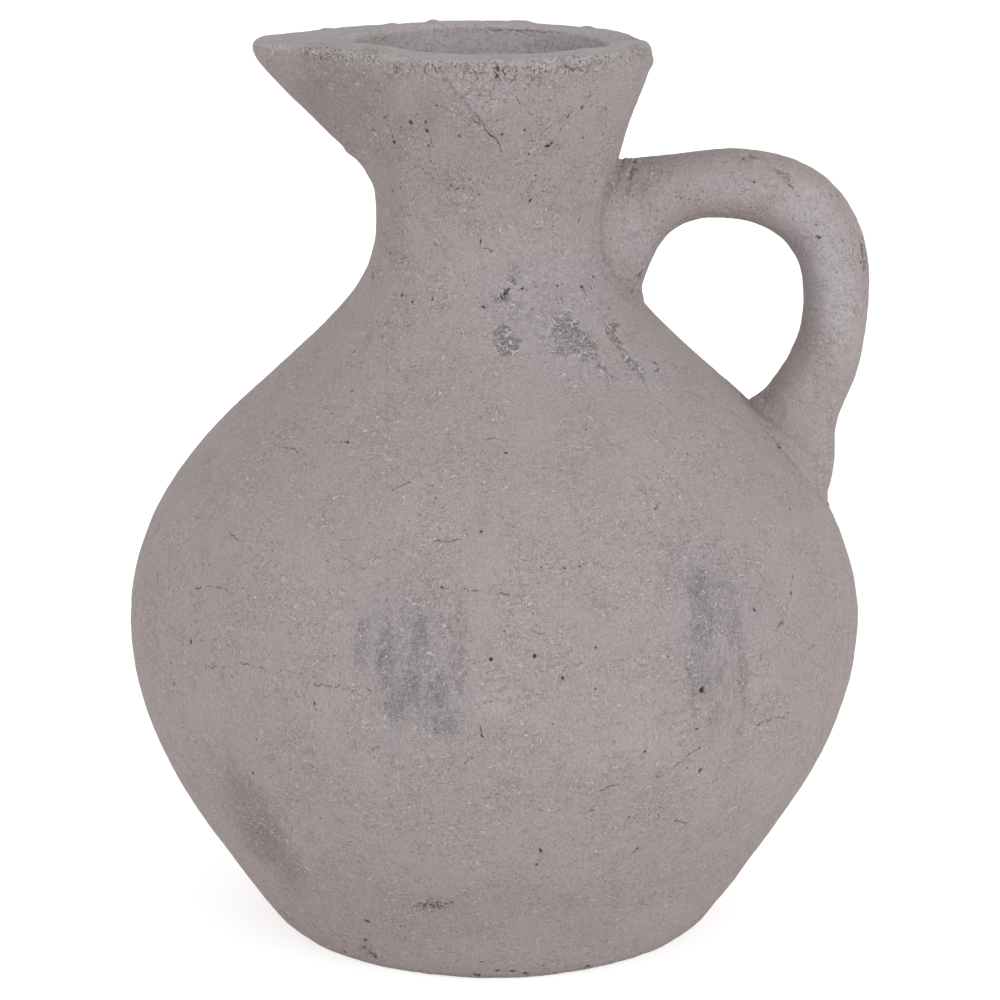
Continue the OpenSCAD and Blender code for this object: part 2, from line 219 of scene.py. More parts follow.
def from_spout(theta):
    """The angle from -X, where the spout points, from 0 to pi."""
    return np.pi - np.abs(np.arctan2(np.sin(theta), np.cos(theta)))


def outer_r(theta, z):
    """Radius of the outside at an angle and a height."""
    to_handle, to_spout = np.maximum(np.cos(theta), 0.0), np.maximum(-np.cos(theta), 0.0)
    plain = round_r(np.minimum(z, FLARE_END_Z)) - RIM_TUCK * smooth(z, RIM_TUCK_LOW_Z, RIM_TUCK_HIGH_Z)
    plain = plain + swell(z, SHOULDER_SWELL) * np.maximum(np.cos(theta - SHOULDER_SWELL_TURN), 0.0)
    plain = plain + swell(z, BELLY_SWELL) * to_handle + swell(z, BELLY_HOLLOW) * to_spout
    plain = plain + swell(z, NECK_SWELL) * to_handle ** 2 + swell(z, LIP_SWELL) * to_handle ** 6
    plain = plain + swell(z, FOOT_HOLLOW)
    keel = SPOUT_REACH - soft_positive(SPOUT_REACH - HEEL_X - (z - HEEL_Z) * KEEL_SLOPE, KEEL_SOFT)
    keel = keel + sum(swell(z, bump) for bump in HEEL_BUMPS)
    reach = plain + soft_positive(np.maximum(keel, 0) - plain, KEEL_SOFT)
    reach = np.where(z < KEEL_LOW_Z, plain, plain + (reach - plain) * smooth(z, KEEL_LOW_Z, KEEL_HIGH_Z))
    drawn = np.clip((reach - plain) / (SPOUT_REACH - LIP_R), 0.0, 1.0)
    tip_r = np.minimum(SPOUT_TIP_R + SPOUT_LOW_WIDER * (1 - drawn), plain - 1.0)
    turned = from_spout(theta)
    r, bow = beak(turned, plain, tip_r, reach)
    return r + SPOUT_BOW * drawn * np.sin(np.pi * bow) ** 2 * (turned < SPOUT_BOW_ANGLE)


def axis_shift(z):
    """The neck leans a little to the spout's side."""
    return -NECK_SHIFT * smooth(z, 180.0, 300.0)


def round_axis(theta, r, z):
    """Points at an angle, at a radius from the jug's slightly leaning axis and at a height."""
    return np.stack([r * np.cos(theta) + axis_shift(z), r * np.sin(theta), z], 1)


def outside(theta, z):
    """Points of the outside at an angle and a height."""
    return round_axis(theta, outer_r(theta, z), z)


def wall_t(z):
    """Thickness of the wall, which grows from the shoulder up to the neck."""
    return BELLY_WALL + (NECK_WALL - BELLY_WALL) * np.clip((z - SHOULDER_Z) / (NECK_Z - SHOULDER_Z), 0, 1)


def inside(theta, z):
    """The inner face of the thrown wall."""
    z = np.asarray(z, float)
    step = 0.09
    lean = (round_r(z + step) - round_r(np.maximum(z - step, 0))) / (2 * step)
    r = round_r(np.minimum(z, RIM_BASE_Z)) - wall_t(z) * np.sqrt(1 + lean ** 2)
    return round_axis(theta, r, z)


def ray_to_clay(u, v):
    """The nearest point of the outside that a pixel of the view shows."""
    ray = pixel_ray(u, v)
    t = np.linspace(CAM_BACK * 0.8, CAM_BACK * 1.2, RAY_STEPS)
    p = CAM_AT + ray * t[:, None]
    z = np.clip(p[:, 2], 0.0, JUG_H)
    x = p[:, 0] - axis_shift(z)
    gap = np.hypot(x, p[:, 1]) - outer_r(np.arctan2(p[:, 1], x), z)
    gap = np.where((p[:, 2] < 0) | (p[:, 2] > JUG_H), FAR_OFF, gap)
    inner = np.flatnonzero(gap < 0)
    return p[inner[0]] if len(inner) else p[int(np.argmin(gap))]


# Form of the handle

HANDLE_T, HANDLE_W = 22.5, 28.0
ROOT_Z, ROOT_H, ROOT_W = 236.0, 46.5, 27.0
FOOT_Z, FOOT_H, FOOT_W = 160.0, 34.0, 27.6
HANDLE_BACK, HANDLE_TOP = 126.5, 263.0
# The strap's section is a superellipse. Near its ends it turns into their rings, a little way into the wall.
SECTION_POWER, END_SHARE, END_SINK = 2 / 2.35, 0.045, 0.5
# Shares of the way out and of the way up, of the thickness and of the width, and the lean in degrees
HANDLE_ROUTE_SHARES = (
    (0.11, 0.922, 1.40, 1.05, 97), (0.22, 0.97, 1.08, 1, 93), (0.42, 1.0, 0.99, 1, 90),
    (0.655, 0.983, 1.05, 1, 76), (0.835, 0.913, 1.1, 1, 56), (0.958, 0.782, 1.08, 1, 36),
    (1.0, 0.59, 0.98, 1, 9), (0.985, 0.45, 0.95, 1, -5), (0.914, 0.28, 1.06, 1.0, -14),
    (0.845, 0.164, 1.2, 1.03, -28), (0.813, 0.073, 1.6, 1.04, -41),
)


def handle_stations():
    """Rows of centre x, centre z, half thickness, half width and lean in degrees."""

    def end(z, height, width, sign):
        """The strap's section where it meets the wall."""
        top, low = (float(round_r(z + s * height / 2)) for s in (1, -1))
        lean = math.degrees(math.atan2(sign * height, sign * (top - low)))
        return [(top + low) / 2, z, math.hypot(height, top - low) / 2, width / 2, lean]

    root, foot = end(ROOT_Z, ROOT_H, ROOT_W, 1), end(FOOT_Z, FOOT_H, FOOT_W, -1)
    back_x, crown_z = HANDLE_BACK - HANDLE_T / 2, HANDLE_TOP - HANDLE_T / 2
    rows = [root]
    for x, z, t, w, lean in HANDLE_ROUTE_SHARES:
        rows.append([root[0] + (back_x - root[0]) * x, FOOT_Z + (crown_z - FOOT_Z) * z,
                     HANDLE_T / 2 * t, HANDLE_W / 2 * w, lean])
    rows.append(foot)
    return np.array(rows, float)


def spline_bends(knots, rows):
    """Second differences of the natural cubic curve through the rows."""
    h = np.diff(knots)
    matrix, target = np.eye(len(knots)), np.zeros_like(rows)
    for i in range(1, len(knots) - 1):
        matrix[i, i - 1:i + 2] = h[i - 1], 2 * (h[i - 1] + h[i]), h[i]
        target[i] = 6 * ((rows[i + 1] - rows[i]) / h[i] - (rows[i] - rows[i - 1]) / h[i - 1])
    return np.linalg.solve(matrix, target)


STATIONS = handle_stations()
STATION_RUN = run_along(np.hypot(*np.diff(STATIONS[:, :2], axis=0).T))
HANDLE_RUN = STATION_RUN[-1]
STATION_KNOTS = STATION_RUN / HANDLE_RUN
STATION_BENDS = spline_bends(STATION_KNOTS, STATIONS)


def station_at(t):
    """Stations along the handle, t from 0 at the root to 1 at the foot."""
    i = np.clip(np.searchsorted(STATION_KNOTS, t) - 1, 0, len(STATIONS) - 2)
    h = (STATION_KNOTS[i + 1] - STATION_KNOTS[i])[:, None]
    b = (t - STATION_KNOTS[i])[:, None] / h
    a = 1 - b
    return (a * STATIONS[i] + b * STATIONS[i + 1]
            + ((a ** 3 - a) * STATION_BENDS[i] + (b ** 3 - b) * STATION_BENDS[i + 1]) * h * h / 6)


def on_wall(y, z, sink=0.0):
    """A point of the handle's side of the wall at side distance y and height z."""
    theta = np.zeros_like(z)
    for _ in range(3):
        r = outer_r(theta, z) - sink
        x = np.sqrt(np.maximum(r * r - y * y, 0))
        theta = np.arctan2(y, x)
    return np.stack([x + axis_shift(z), y, z], 1)


def strap(around, t, grow=0.0):
    """A point of the strap: around is the angle of its section, t the place along it."""
    s = station_at(t)
    c, n = np.cos(around), np.sin(around)
    out = (s[:, 2] + grow) * np.sign(c) * np.abs(c) ** SECTION_POWER
    y = (s[:, 3] + grow) * np.sign(n) * np.abs(n) ** SECTION_POWER
    lean = np.radians(s[:, 4])
    free = np.stack([s[:, 0] + out * np.cos(lean), y, s[:, 1] + out * np.sin(lean)], 1)
    root = on_wall((ROOT_W / 2 + grow) * n, ROOT_Z + (ROOT_H / 2 + grow) * c, END_SINK)
    foot = on_wall((FOOT_W / 2 + grow) * n, FOOT_Z - (FOOT_H / 2 + grow) * c, END_SINK)
    near_root, near_foot = (1 - smooth(x, 0.0, END_SHARE)[:, None] for x in (t, 1 - t))
    return free * (1 - near_root - near_foot) + root * near_root + foot * near_foot


# How far the smeared clay goes out over the wall at the strap's ends: over it, at its sides and under it
ROOT_REACHES, FOOT_REACHES = (0.9, 3.1, 2.6), (1.5, 3.1, 2.2)


def end_ring(at_root, a, grow, sink=0.0):
    """A ring on the wall round one end of the strap, grown outward by grow."""
    z, h, w = (ROOT_Z, ROOT_H, ROOT_W) if at_root else (FOOT_Z, FOOT_H, FOOT_W)
    side = 1 if at_root else -1
    return on_wall((w / 2 + grow) * np.sin(a), z + side * (h / 2 + grow) * np.cos(a), sink)


def smear_reach(at_root, a):
    """How far out over the wall the smeared clay goes at an angle round the strap's end."""
    over, sides, under = ROOT_REACHES if at_root else FOOT_REACHES
    upper = np.cos(a) > 0 if at_root else np.cos(a) < 0
    return sides * np.sin(a) ** 2 + np.where(upper, over, under) * np.cos(a) ** 2


# Marks in the clay

# A mark's darkness is painted shade in its hollow
# Each mark is a line between two points, with a half width, a depth, a darkness and a wobble. Depths of lumps
# are below 0.
MARKS = []
# A mark wider than this is soft. The swings say how ragged soft marks, lines and pores are.
SOFT_WIDTH, SOFT_SWING, LINE_SWING, PORE_SWING = 1.5, 0.15, 0.65, 0.35
# The least share of its width that a line and a pore keep, and the most that any mark takes
LINE_LEAST, PORE_LEAST, MOST_WIDTH = 0.45, 0.8, 1.7
RAISED_LIP = 0.14


def add_mark(points, width, depth, dark, wobble=0.0):
    """Adds a mark along the points, or a round one at a single point."""
    points = [np.asarray(p, float) for p in points]
    if len(points) == 1:
        points = points * 2
    for a, b in zip(points, points[1:]):
        MARKS.append((a, b, width, depth, dark, wobble))


def mark_distance(p, a, b):
    """How far the points are from the line between a and b."""
    line = b - a
    along = np.clip(((p - a) @ line) / max(line @ line, 1e-9), 0.0, 1.0)
    return np.linalg.norm(p - (a + along[:, None] * line), axis=1)


def marks_near(p, margin):
    """Yields the marks that come near the points, with which points those are."""
    order = np.argsort(p[:, 2], kind="stable")
    heights = p[order, 2]
    for mark in MARKS:
        a, b, width, wobble = mark[0], mark[1], mark[2], mark[5]
        far = width * 3 + wobble + margin
        low, high = np.minimum(a, b) - far, np.maximum(a, b) + far
        first, last = np.searchsorted(heights, (low[2], high[2]))
        band = order[first:last]
        near = band[((p[band, :2] >= low[:2]) & (p[band, :2] <= high[:2])).all(1)]
        if len(near):
            yield (near,) + mark


def needs_detail(p, margin):
    """Whether each point is so near to a mark that the mesh has to be finer there."""
    flag = np.zeros(len(p), bool)
    for near, a, b, width, _, _, wobble in marks_near(p, margin):
        flag[near] |= mark_distance(p[near], a, b) < width + 0.6 * wobble + margin
    return flag


def carve(p, normals):
    """How deep the marks go at each point, with their low raised lips, and the painted shade they lay in
    their hollows.
    """
    depth_at, shade_at = np.zeros(len(p)), np.zeros(len(p))
    found = list(marks_near(p, 0.0))
    if not found:
        return depth_at, shade_at
    touched = np.unique(np.concatenate([mark[0] for mark in found]))
    q, n = p[touched], normals[touched]
    drift = np.stack([cloud(q, 3.1, 5 + k) for k in range(3)], 1)
    drift -= n * (drift * n).sum(1)[:, None]
    shift, ragged, broken = np.zeros_like(p), np.zeros(len(p)), np.zeros(len(p))
    shift[touched] = drift
    ragged[touched] = cloud(q, 1.1, 11)
    broken[touched] = cloud(q, 3.7, 23)
    for near, a, b, width, depth, dark, wobble in found:
        soft_mark = width > SOFT_WIDTH
        a_line = np.any(a != b)
        swing = SOFT_SWING if soft_mark else LINE_SWING if a_line else PORE_SWING
        wide = width * np.clip(1 + swing * ragged[near], LINE_LEAST if a_line else PORE_LEAST, MOST_WIDTH)
        apart = mark_distance(p[near] + wobble * shift[near], a, b) / wide
        inner = 1 - smooth(apart, 0.3, 1.45)
        if a_line and not soft_mark:
            inner = inner * np.clip(1.02 + 1.2 * broken[near], 0.1, 1)
        change = depth * inner - RAISED_LIP * max(depth, 0) * hump(apart, 2.0, 0.6)
        depth_at[near] = np.where(np.abs(change) > np.abs(depth_at[near]), change, depth_at[near])
        shade_at[near] = np.maximum(shade_at[near], dark * inner)
    return depth_at, shade_at


# Patches of the skin

# Each is soft and placed by pixel: u, v, half width, half height, strength and, where it leans, its tilt
STAIN_PATCHES = (
    (507, 342, 16, 11, 1.25), (502, 331, 14, 8, 1.15, -10), (508, 350, 13, 7, 1.05),
    (514, 270, 9, 10, 0.4), (513, 282, 8, 7, 0.8), (516, 310, 7, 16, 0.5), (507, 320, 8, 8, 0.55),
    (566, 324, 19, 9, 1.0), (571, 334, 21, 9, 1.1), (579, 345, 22, 9, 1.1), (565, 350, 15, 9, 0.95),
    (586, 356, 15, 7, 0.9, 10), (556, 332, 9, 12, 0.75), (566, 313, 14, 6, 0.7), (540, 330, 10, 12, 0.45),
    (600, 366, 14, 7, 0.7, 40), (556, 300, 10, 12, 0.4, 20), (611, 328, 8, 10, 1.05, 40),
    (618, 343, 6, 16, 1.0, -35), (632, 364, 7, 22, 0.9, -45), (604, 374, 14, 8, 0.6, 20),
    (648, 384, 14, 8, 0.45, 30), (583, 290, 10, 8, 0.35), (362, 640, 15, 38, 0.6),
    (388, 660, 16, 48, 1.0, -4), (396, 702, 16, 26, 0.9), (419, 640, 13, 54, 0.9),
    (414, 688, 18, 28, 1.1), (438, 690, 15, 26, 1.05), (457, 650, 12, 66, 0.72),
    (446, 722, 20, 22, 0.75, -35), (415, 645, 60, 94, 0.46), (700, 588, 16, 32, 1.0, -6),
    (706, 625, 18, 40, 0.85, -4), (720, 600, 24, 64, 0.62, -6), (736, 630, 10, 50, 0.85, -8),
    (742, 670, 9, 40, 0.72, -4), (700, 660, 26, 60, 0.55), (672, 560, 22, 44, 0.4),
    (715, 690, 34, 54, 0.42), (243, 796, 16, 30, 0.55, -28), (264, 834, 19, 36, 0.95, -32),
    (232, 764, 12, 24, 0.4, -20), (288, 868, 15, 36, 0.5, -30), (750, 157, 18, 7, 0.6, 15),
    (786, 176, 20, 9, 0.6, 28), (864, 252, 4, 22, 0.9, -8), (495, 95, 8, 14, 0.3), (480, 38, 30, 6, 0.35),
)
# Where the skin is bluish
HAZE_PATCHES = (
    (550, 300, 96, 70, 1.0), (590, 372, 70, 28, 1.0, 10), (640, 365, 50, 34, 0.8, 30),
    (520, 250, 60, 40, 0.6), (410, 655, 66, 96, 1.0), (705, 610, 66, 110, 0.95), (660, 560, 20, 60, 0.6),
    (490, 700, 60, 60, 0.45), (520, 480, 60, 40, 0.3), (820, 250, 40, 80, 1.0, -20),
    (730, 180, 70, 22, 0.7, 5), (690, 430, 70, 40, 0.35, 20), (505, 90, 26, 14, 0.8),
    (225, 780, 16, 60, 0.4, -30), (640, 245, 22, 40, 0.5), (466, 98, 30, 10, 0.9, 50),
    (815, 360, 24, 60, 0.5, 10), (646, 374, 34, 8, 1.3, 52), (368, 640, 14, 46, 1.35),
    (388, 720, 12, 30, 1.2), (498, 98, 14, 16, 1.1),
)
# Where the fire left it reddish
WARM_PATCHES = (
    (365, 815, 60, 45, 0.5), (238, 860, 26, 76, 0.8, -32), (690, 880, 76, 66, 0.7, 25),
    (290, 930, 60, 30, 0.7, 30), (480, 945, 220, 34, 0.85), (613, 778, 26, 12, 0.45),
    (809, 475, 14, 22, 0.5), (655, 925, 60, 26, 0.8, -24), (629, 180, 5, 14, 1.0),
    (800, 745, 36, 70, 0.75, 24), (350, 115, 60, 44, 0.5), (150, 650, 24, 110, 0.5),
    (395, 860, 90, 40, 0.35), (535, 800, 44, 30, 0.5), (580, 848, 44, 30, 0.4),
    (268, 830, 26, 48, 0.7, -30), (520, 935, 90, 20, 0.4), (432, 905, 24, 9, 0.9),
    (700, 800, 40, 30, 0.4),
)
# Painted light: the handle's lit outer side, raised bands and ridges, lit facets and the low base
PAINTED_LIGHT_PATCHES = (
    (834, 285, 24, 80, 1.35, -8), (806, 208, 30, 30, 0.75, -45), (500, 705, 24, 16, 0.5),
    (466, 96, 26, 6, 1.0, 50), (499, 97, 7, 16, 0.8, 20), (630, 235, 24, 46, 0.85),
    (627, 198, 7, 3, 0.9, 35), (656, 386, 16, 6, 0.5, 52), (735, 190, 40, 12, 0.2, 5),
    (640, 745, 30, 20, 0.3), (500, 850, 170, 44, 0.28), (500, 955, 200, 22, 0.55),
    (655, 925, 60, 24, 0.6, -24), (808, 420, 24, 44, 0.3),
)
# Painted shade: under the spout, by the neck, in the mouth's right end, down the left side and by the foot
PAINTED_SHADE_PATCHES = (
    (338, 98, 70, 54, 1.55, 38), (392, 140, 28, 36, 1.0), (386, 215, 24, 66, 0.7),
    (500, 185, 106, 76, 0.45), (252, 814, 26, 52, 1.7, -32), (262, 834, 21, 40, 2.7, -32),
    (285, 862, 16, 36, 1.2, -30), (430, 110, 26, 30, 0.7), (530, 290, 60, 46, 0.7),
    (586, 38, 22, 7, 2.5, -6), (628, 275, 18, 34, 0.35, -20), (745, 345, 16, 50, 0.35, -40),
    (480, 410, 150, 90, 0.16), (146, 620, 14, 130, 0.35), (800, 620, 60, 120, 0.16),
    (640, 150, 24, 16, 0.3), (432, 904, 26, 9, 0.5), (366, 948, 10, 18, 0.4),
)
# Where it is torn and crumbly
TORN_PATCHES = (
    (325, 53, 36, 11, 0.9, 5), (372, 54, 16, 10, 0.9), (397, 70, 18, 10, 0.8), (432, 67, 34, 11, 0.85),
    (470, 70, 30, 14, 0.9), (505, 72, 30, 15, 1.0), (540, 69, 26, 15, 0.95), (575, 66, 28, 14, 1.0),
    (612, 61, 30, 12, 0.8, -10), (638, 52, 12, 14, 0.8), (480, 92, 36, 24, 0.55, 30),
    (425, 132, 22, 24, 0.35), (548, 145, 20, 14, 0.3), (432, 905, 24, 9, 0.8), (366, 950, 10, 16, 0.6),
    (502, 298, 12, 9, 0.5), (458, 182, 20, 16, 0.4, 30), (256, 822, 20, 38, 0.35, -32),
    (560, 340, 40, 22, 0.3),
)


def patch_strength(p, patches):
    """The strongest of the patches at each point, only on the clay that faces the view."""
    u, v, _ = to_pixels(p)
    total = np.zeros(len(p))
    for middle_u, middle_v, half_w, half_h, strength, *tilt in patches:
        turn = math.radians(tilt[0]) if tilt else 0.0
        du, dv = u - middle_u, v - middle_v
        a = (du * math.cos(turn) + dv * math.sin(turn)) / half_w
        b = (-du * math.sin(turn) + dv * math.cos(turn)) / half_h
        total = np.maximum(total, strength * (1 - smooth(np.sqrt(a * a + b * b), 0.25, 1.35)))
    return total * smooth(-p[:, 1], -8.0, 12.0)


def back_patches(p, seed, cell, cover):
    """Patches of the same kind for the clay that the photograph doesn't show."""
    wide = p * np.array([1.0, 1.0, 0.62])
    level = cloud(wide, cell, seed)
    return smooth(level, 1 - cover, 1.25 - cover) * smooth(p[:, 1], -6.0, 14.0)


# Surface relief shared by every piece, so that neighbours meet without a step

# Depths of the three layers of relief, and how much deeper the finest is by the handle's foot
BROAD_PEEL, MIDDLE_PEEL, FINE_PEEL, HANDLE_PEEL = 0.34, 0.11, 0.09, 0.03
PIT_DEPTH, RIDGE_DEPTH, TORN_LIFT, TORN_GRAIN = 0.6, 0.5, 0.13, 0.12


def peel(p):
    """Relief of the dried and hand-rubbed clay, in millimetres along the normal."""
    broad = BROAD_PEEL * cloud(p * np.array([1, 1, 1.4]), 46.0, 3)
    to_handle = smooth(p[:, 0], 58.0, 90.0) * smooth(p[:, 2], 150.0, 185.0)
    fine_peel = FINE_PEEL + HANDLE_PEEL * to_handle
    return broad + MIDDLE_PEEL * cloud(p, 11.0, 41) + fine_peel * cloud(p, 4.2, 43)


def crumble(p, amount):
    """Relief where the clay is torn and pitted, mostly into the surface, and the painted shade in its pits.
    """
    pits = smooth(cloud(p, 1.4, 61), 0.42, 0.85)
    ridges = np.abs(cloud(p, 1.7, 67))
    amount = amount * smooth(cloud(p, 4.0, 73), -0.5, 0.3)
    grain = TORN_GRAIN * cloud(p, 0.8, 71, 1)
    return amount * (PIT_DEPTH * pits + RIDGE_DEPTH * ridges - TORN_LIFT + grain), 0.6 * amount * pits


def rough_band(p):
    """How torn the clay is, from 0 to 1: as the view shows it in front, and round the rim's face behind."""
    r = np.hypot(p[:, 0], p[:, 1])
    behind = 0.16 * smooth(p[:, 1], -6.0, 14.0) * smooth(p[:, 2], 290.0, 293.5) * smooth(r, 43.0, 47.0)
    behind = behind * (1 - 0.7 * smooth(-p[:, 0], 44.0, 62.0))
    return np.clip(np.maximum(patch_strength(p, TORN_PATCHES), behind), 0, 1)


def finish_points(p, normals):
    """The points with their relief, and the tones that go with it."""
    depth, dark = carve(p, normals)
    relief = peel(p) - depth
    rough = rough_band(p)
    here = np.flatnonzero(rough > 0.02)
    if len(here):
        torn, shade = crumble(p[here], rough[here])
        relief[here] -= torn
        dark[here] = np.maximum(dark[here], shade)
    return p + normals * relief[:, None], dark, rough


# Meshes

# How near to a mark, and how torn, the clay has to be for a finer mesh
DETAIL_MARGIN, DETAIL_TORN = 0.5, 0.2
# Of each side of a cell, by row and column: the neighbour beyond, the corner it starts at and the way it runs
CELL_SIDES = (((-1, 0), (0, 0), (0, 1)), ((0, 1), (0, 1), (1, 0)), ((1, 0), (1, 1), (0, -1)),
              ((0, -1), (1, 0), (-1, 0)))


def normals_of(surface, a, b, da, db):
    """Outward normals of a surface given by two parameters."""
    along_a = surface(a + da, b) - surface(a - da, b)
    along_b = surface(a, b + db) - surface(a, b - db)
    n = np.cross(along_a, along_b)
    return n / np.maximum(np.linalg.norm(n, axis=1), 1e-12)[:, None]


def grid(surface, a_lines, b_lines, split=1, da=1e-4, db=0.02, flip=False):
    """A surface over a grid that closes round in its first parameter.

    A cell near a mark is cut into split by split smaller ones, whose corners its plain neighbours take up.
    Returns the points, the faces, the tones and the first and last ring.
    """
    cols, rows = len(a_lines), len(b_lines) - 1
    wide = cols * split
    a_closed = np.append(a_lines, a_lines[0] + 2 * math.pi)
    fine_a = np.interp(np.arange(wide + 1) / split, np.arange(cols + 1), a_closed)[:-1]
    fine_b = np.interp(np.arange(rows * split + 1) / split, np.arange(rows + 1), b_lines)
    cells = np.zeros((rows, cols), bool)
    if split > 1:
        ga, gb = np.meshgrid(a_lines, b_lines)
        coarse = surface(ga.ravel(), gb.ravel())
        flag = needs_detail(coarse, DETAIL_MARGIN) | (rough_band(coarse) > DETAIL_TORN)
        flag = flag.reshape(rows + 1, cols)
        around = np.roll(flag, -1, 1)
        cells = flag[:-1] | flag[1:] | around[:-1] | around[1:]
        cells[0], cells[-1] = False, False
    used = np.zeros((rows * split + 1, wide), bool)
    used[::split, ::split] = True
    fine_r, fine_c = np.nonzero(cells)
    for dr, dc in itertools.product(range(split + 1), repeat=2):
        used[fine_r * split + dr, (fine_c * split + dc) % wide] = True
    index = np.full(used.shape, -1)
    index[used] = np.arange(used.sum())
    at_r, at_c = np.nonzero(used)
    a, b = fine_a[at_c], fine_b[at_r]
    n = normals_of(surface, a, b, da, db) * (-1 if flip else 1)
    points, dark, rough = finish_points(surface(a, b), n)

    def squares(r, c, step):
        """Faces with their first corner at fine row r and column c, step long each way."""
        left, right = c % wide, (c + step) % wide
        return np.stack([index[r, left], index[r, right], index[r + step, right], index[r + step, left]], 1)

    r, c = np.nonzero(~cells)
    beside = np.logical_or.reduce([np.roll(cells, way, axis)[r, c] for way in (1, -1) for axis in (0, 1)])
    quads = [squares(r[~beside] * split, c[~beside] * split, split)]
    for dr, dc in itertools.product(range(split), repeat=2):
        quads.append(squares(fine_r * split + dr, fine_c * split + dc, 1))
    faces = [tuple(q) for q in np.concatenate(quads).tolist()]
    for row, col in zip(r[beside], c[beside]):
        loop = []
        for (down, right), (y, x), (dy, dx) in CELL_SIDES:
            beyond = 0 <= row + down < rows and cells[row + down, (col + right) % cols]
            for k in range(split if beyond else 1):
                loop.append(int(index[(row + y) * split + k * dy, ((col + x) * split + k * dx) % wide]))
        faces.append(tuple(loop))
    if flip:
        faces = [f[::-1] for f in faces]
    first, last = ([int(i) for i in ring if i >= 0] for ring in (index[0], index[-1]))
    return points, faces, (dark, rough), first, last


def join_parts(parts):
    """One mesh from parts given as points, faces and tones. Returns it with each part's first index."""
    starts, points, faces, dark, rough = [], [], [], [], []
    at = 0
    for p, f, tones in parts:
        starts.append(at)
        points.append(p)
        faces += [tuple(i + at for i in face) for face in f] if at else f
        dark.append(tones[0])
        rough.append(tones[1])
        at += len(p)
    return np.concatenate(points), faces, (np.concatenate(dark), np.concatenate(rough)), starts


def zip_rings(points, ring_a, ring_b):
    """Triangles between two rings that go round the same upright axis."""

    def by_angle(ring):
        at = np.arctan2(points[ring, 1], points[ring, 0])
        order = np.argsort(at, kind="stable")
        return [ring[i] for i in order], at[order]

    (a, at_a), (b, at_b) = by_angle(ring_a), by_angle(ring_b)
    i = j = 0
    faces = []
    while i < len(a) or j < len(b):
        if j == len(b) or (i < len(a) and at_a[i] <= at_b[j]):
            faces.append((a[i - 1], a[i % len(a)], b[j - 1]))
            i += 1
        else:
            faces.append((a[i - 1], b[j % len(b)], b[j - 1]))
            j += 1
    return faces


def inside_neck(p):
    """1 on the bore and the spout's channel, which are a bluish grey with painted light, and 0 outside them.
    """
    r = np.hypot(p[:, 0], p[:, 1])
    limit = np.minimum(MOUTH_R - 0.5, round_r(p[:, 2]) - 9.0)
    return (1 - smooth(r, limit, limit + 3.0)) * smooth(p[:, 2], 200.0, 260.0)


# Each mask of the skin: its patches in the view, and the gain, seed, cell and cover of those on the far side
# In the view the darker mask is painted shade and the paler one painted light; on the far side both are
# random patches
SKIN_MASKS = {
    "stain": (STAIN_PATCHES, 0.8, 91, 34.0, 0.2), "haze": (HAZE_PATCHES, 0.5, 93, 60.0, 0.35),
    "warm": (WARM_PATCHES, 0.5, 97, 52.0, 0.3), "light_and_pale": (PAINTED_LIGHT_PATCHES, 0.5, 99, 40.0, 0.2),
    "shade_and_dark": (PAINTED_SHADE_PATCHES, 0.4, 101, 44.0, 0.2),
}
# Painted light inside the bore against its shade, and on the land on top
BORE_HAZE, BORE_PAINTED_LIGHT, LAND_PAINTED_LIGHT = 0.45, 1.62, 1.15
LAND_LOW_Z, LAND_HIGH_Z = 297.6, 299.2


def skin_masks(points, cavity_shade, torn):
    """What the materials read at each point: how much there is of each kind of mark, patch and stain, and of
    painted shade and light.
    """
    masks = {"cavity_shade": cavity_shade, "torn": torn}
    for label, (patches, gain, *behind) in SKIN_MASKS.items():
        masks[label] = np.maximum(patch_strength(points, patches), gain * back_patches(points, *behind))
    bore, land = inside_neck(points), smooth(points[:, 2], LAND_LOW_Z, LAND_HIGH_Z)
    masks["haze"] = np.maximum(masks["haze"], BORE_HAZE * bore)
    masks["light_and_pale"] = np.maximum(masks["light_and_pale"], np.maximum(BORE_PAINTED_LIGHT * bore, LAND_PAINTED_LIGHT * land))
    return masks


def build(name, points, faces, tones, node, material, rings=()):
    """One closed mesh as a piece of the scene, with its masks, and with sharp edges along the rings."""
    mesh = bpy.data.meshes.new(name)
    mesh.from_pydata((points * MM).tolist(), [], faces)
    mesh.update()
    for label, values in skin_masks(points, *tones).items():
        layer = mesh.attributes.new(label, "FLOAT", "POINT")
        layer.data.foreach_set("value", values.astype(np.float32))
    mesh.shade_smooth()
    ring_of = np.zeros(len(points), int)
    for k, ring in enumerate(rings):
        ring_of[ring] = k + 1
    ends = np.empty(len(mesh.edges) * 2, np.int32)
    mesh.edges.foreach_get("vertices", ends)
    a, b = ring_of[ends[::2]], ring_of[ends[1::2]]
    sharp = mesh.attributes.get("sharp_edge") or mesh.attributes.new("sharp_edge", "BOOLEAN", "EDGE")
    sharp.data.foreach_set("value", (a > 0) & (a == b))
    piece = bpy.data.objects.new(name, mesh)
    bpy.context.scene.collection.objects.link(piece)
    mesh.materials.append(material)
    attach(piece, "root")
    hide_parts(node)


def level_rows(low, high, step):
    """Heights between two levels, about step apart along the wall."""
    z = np.linspace(low, high, 400)
    r = round_r(z)
    run = run_along(np.hypot(np.diff(z), np.diff(r)))
    count = max(2, int(run[-1] / step) + 1)
    return np.interp(np.linspace(0, run[-1], count), run, z)


def rows_of_runs(counts):
    """Rows from 0 to the number of runs, each run with its own count."""
    runs = [np.linspace(k, k + 1, n, endpoint=False) for k, n in enumerate(counts)]
    return np.concatenate(runs + [[float(len(counts))]])


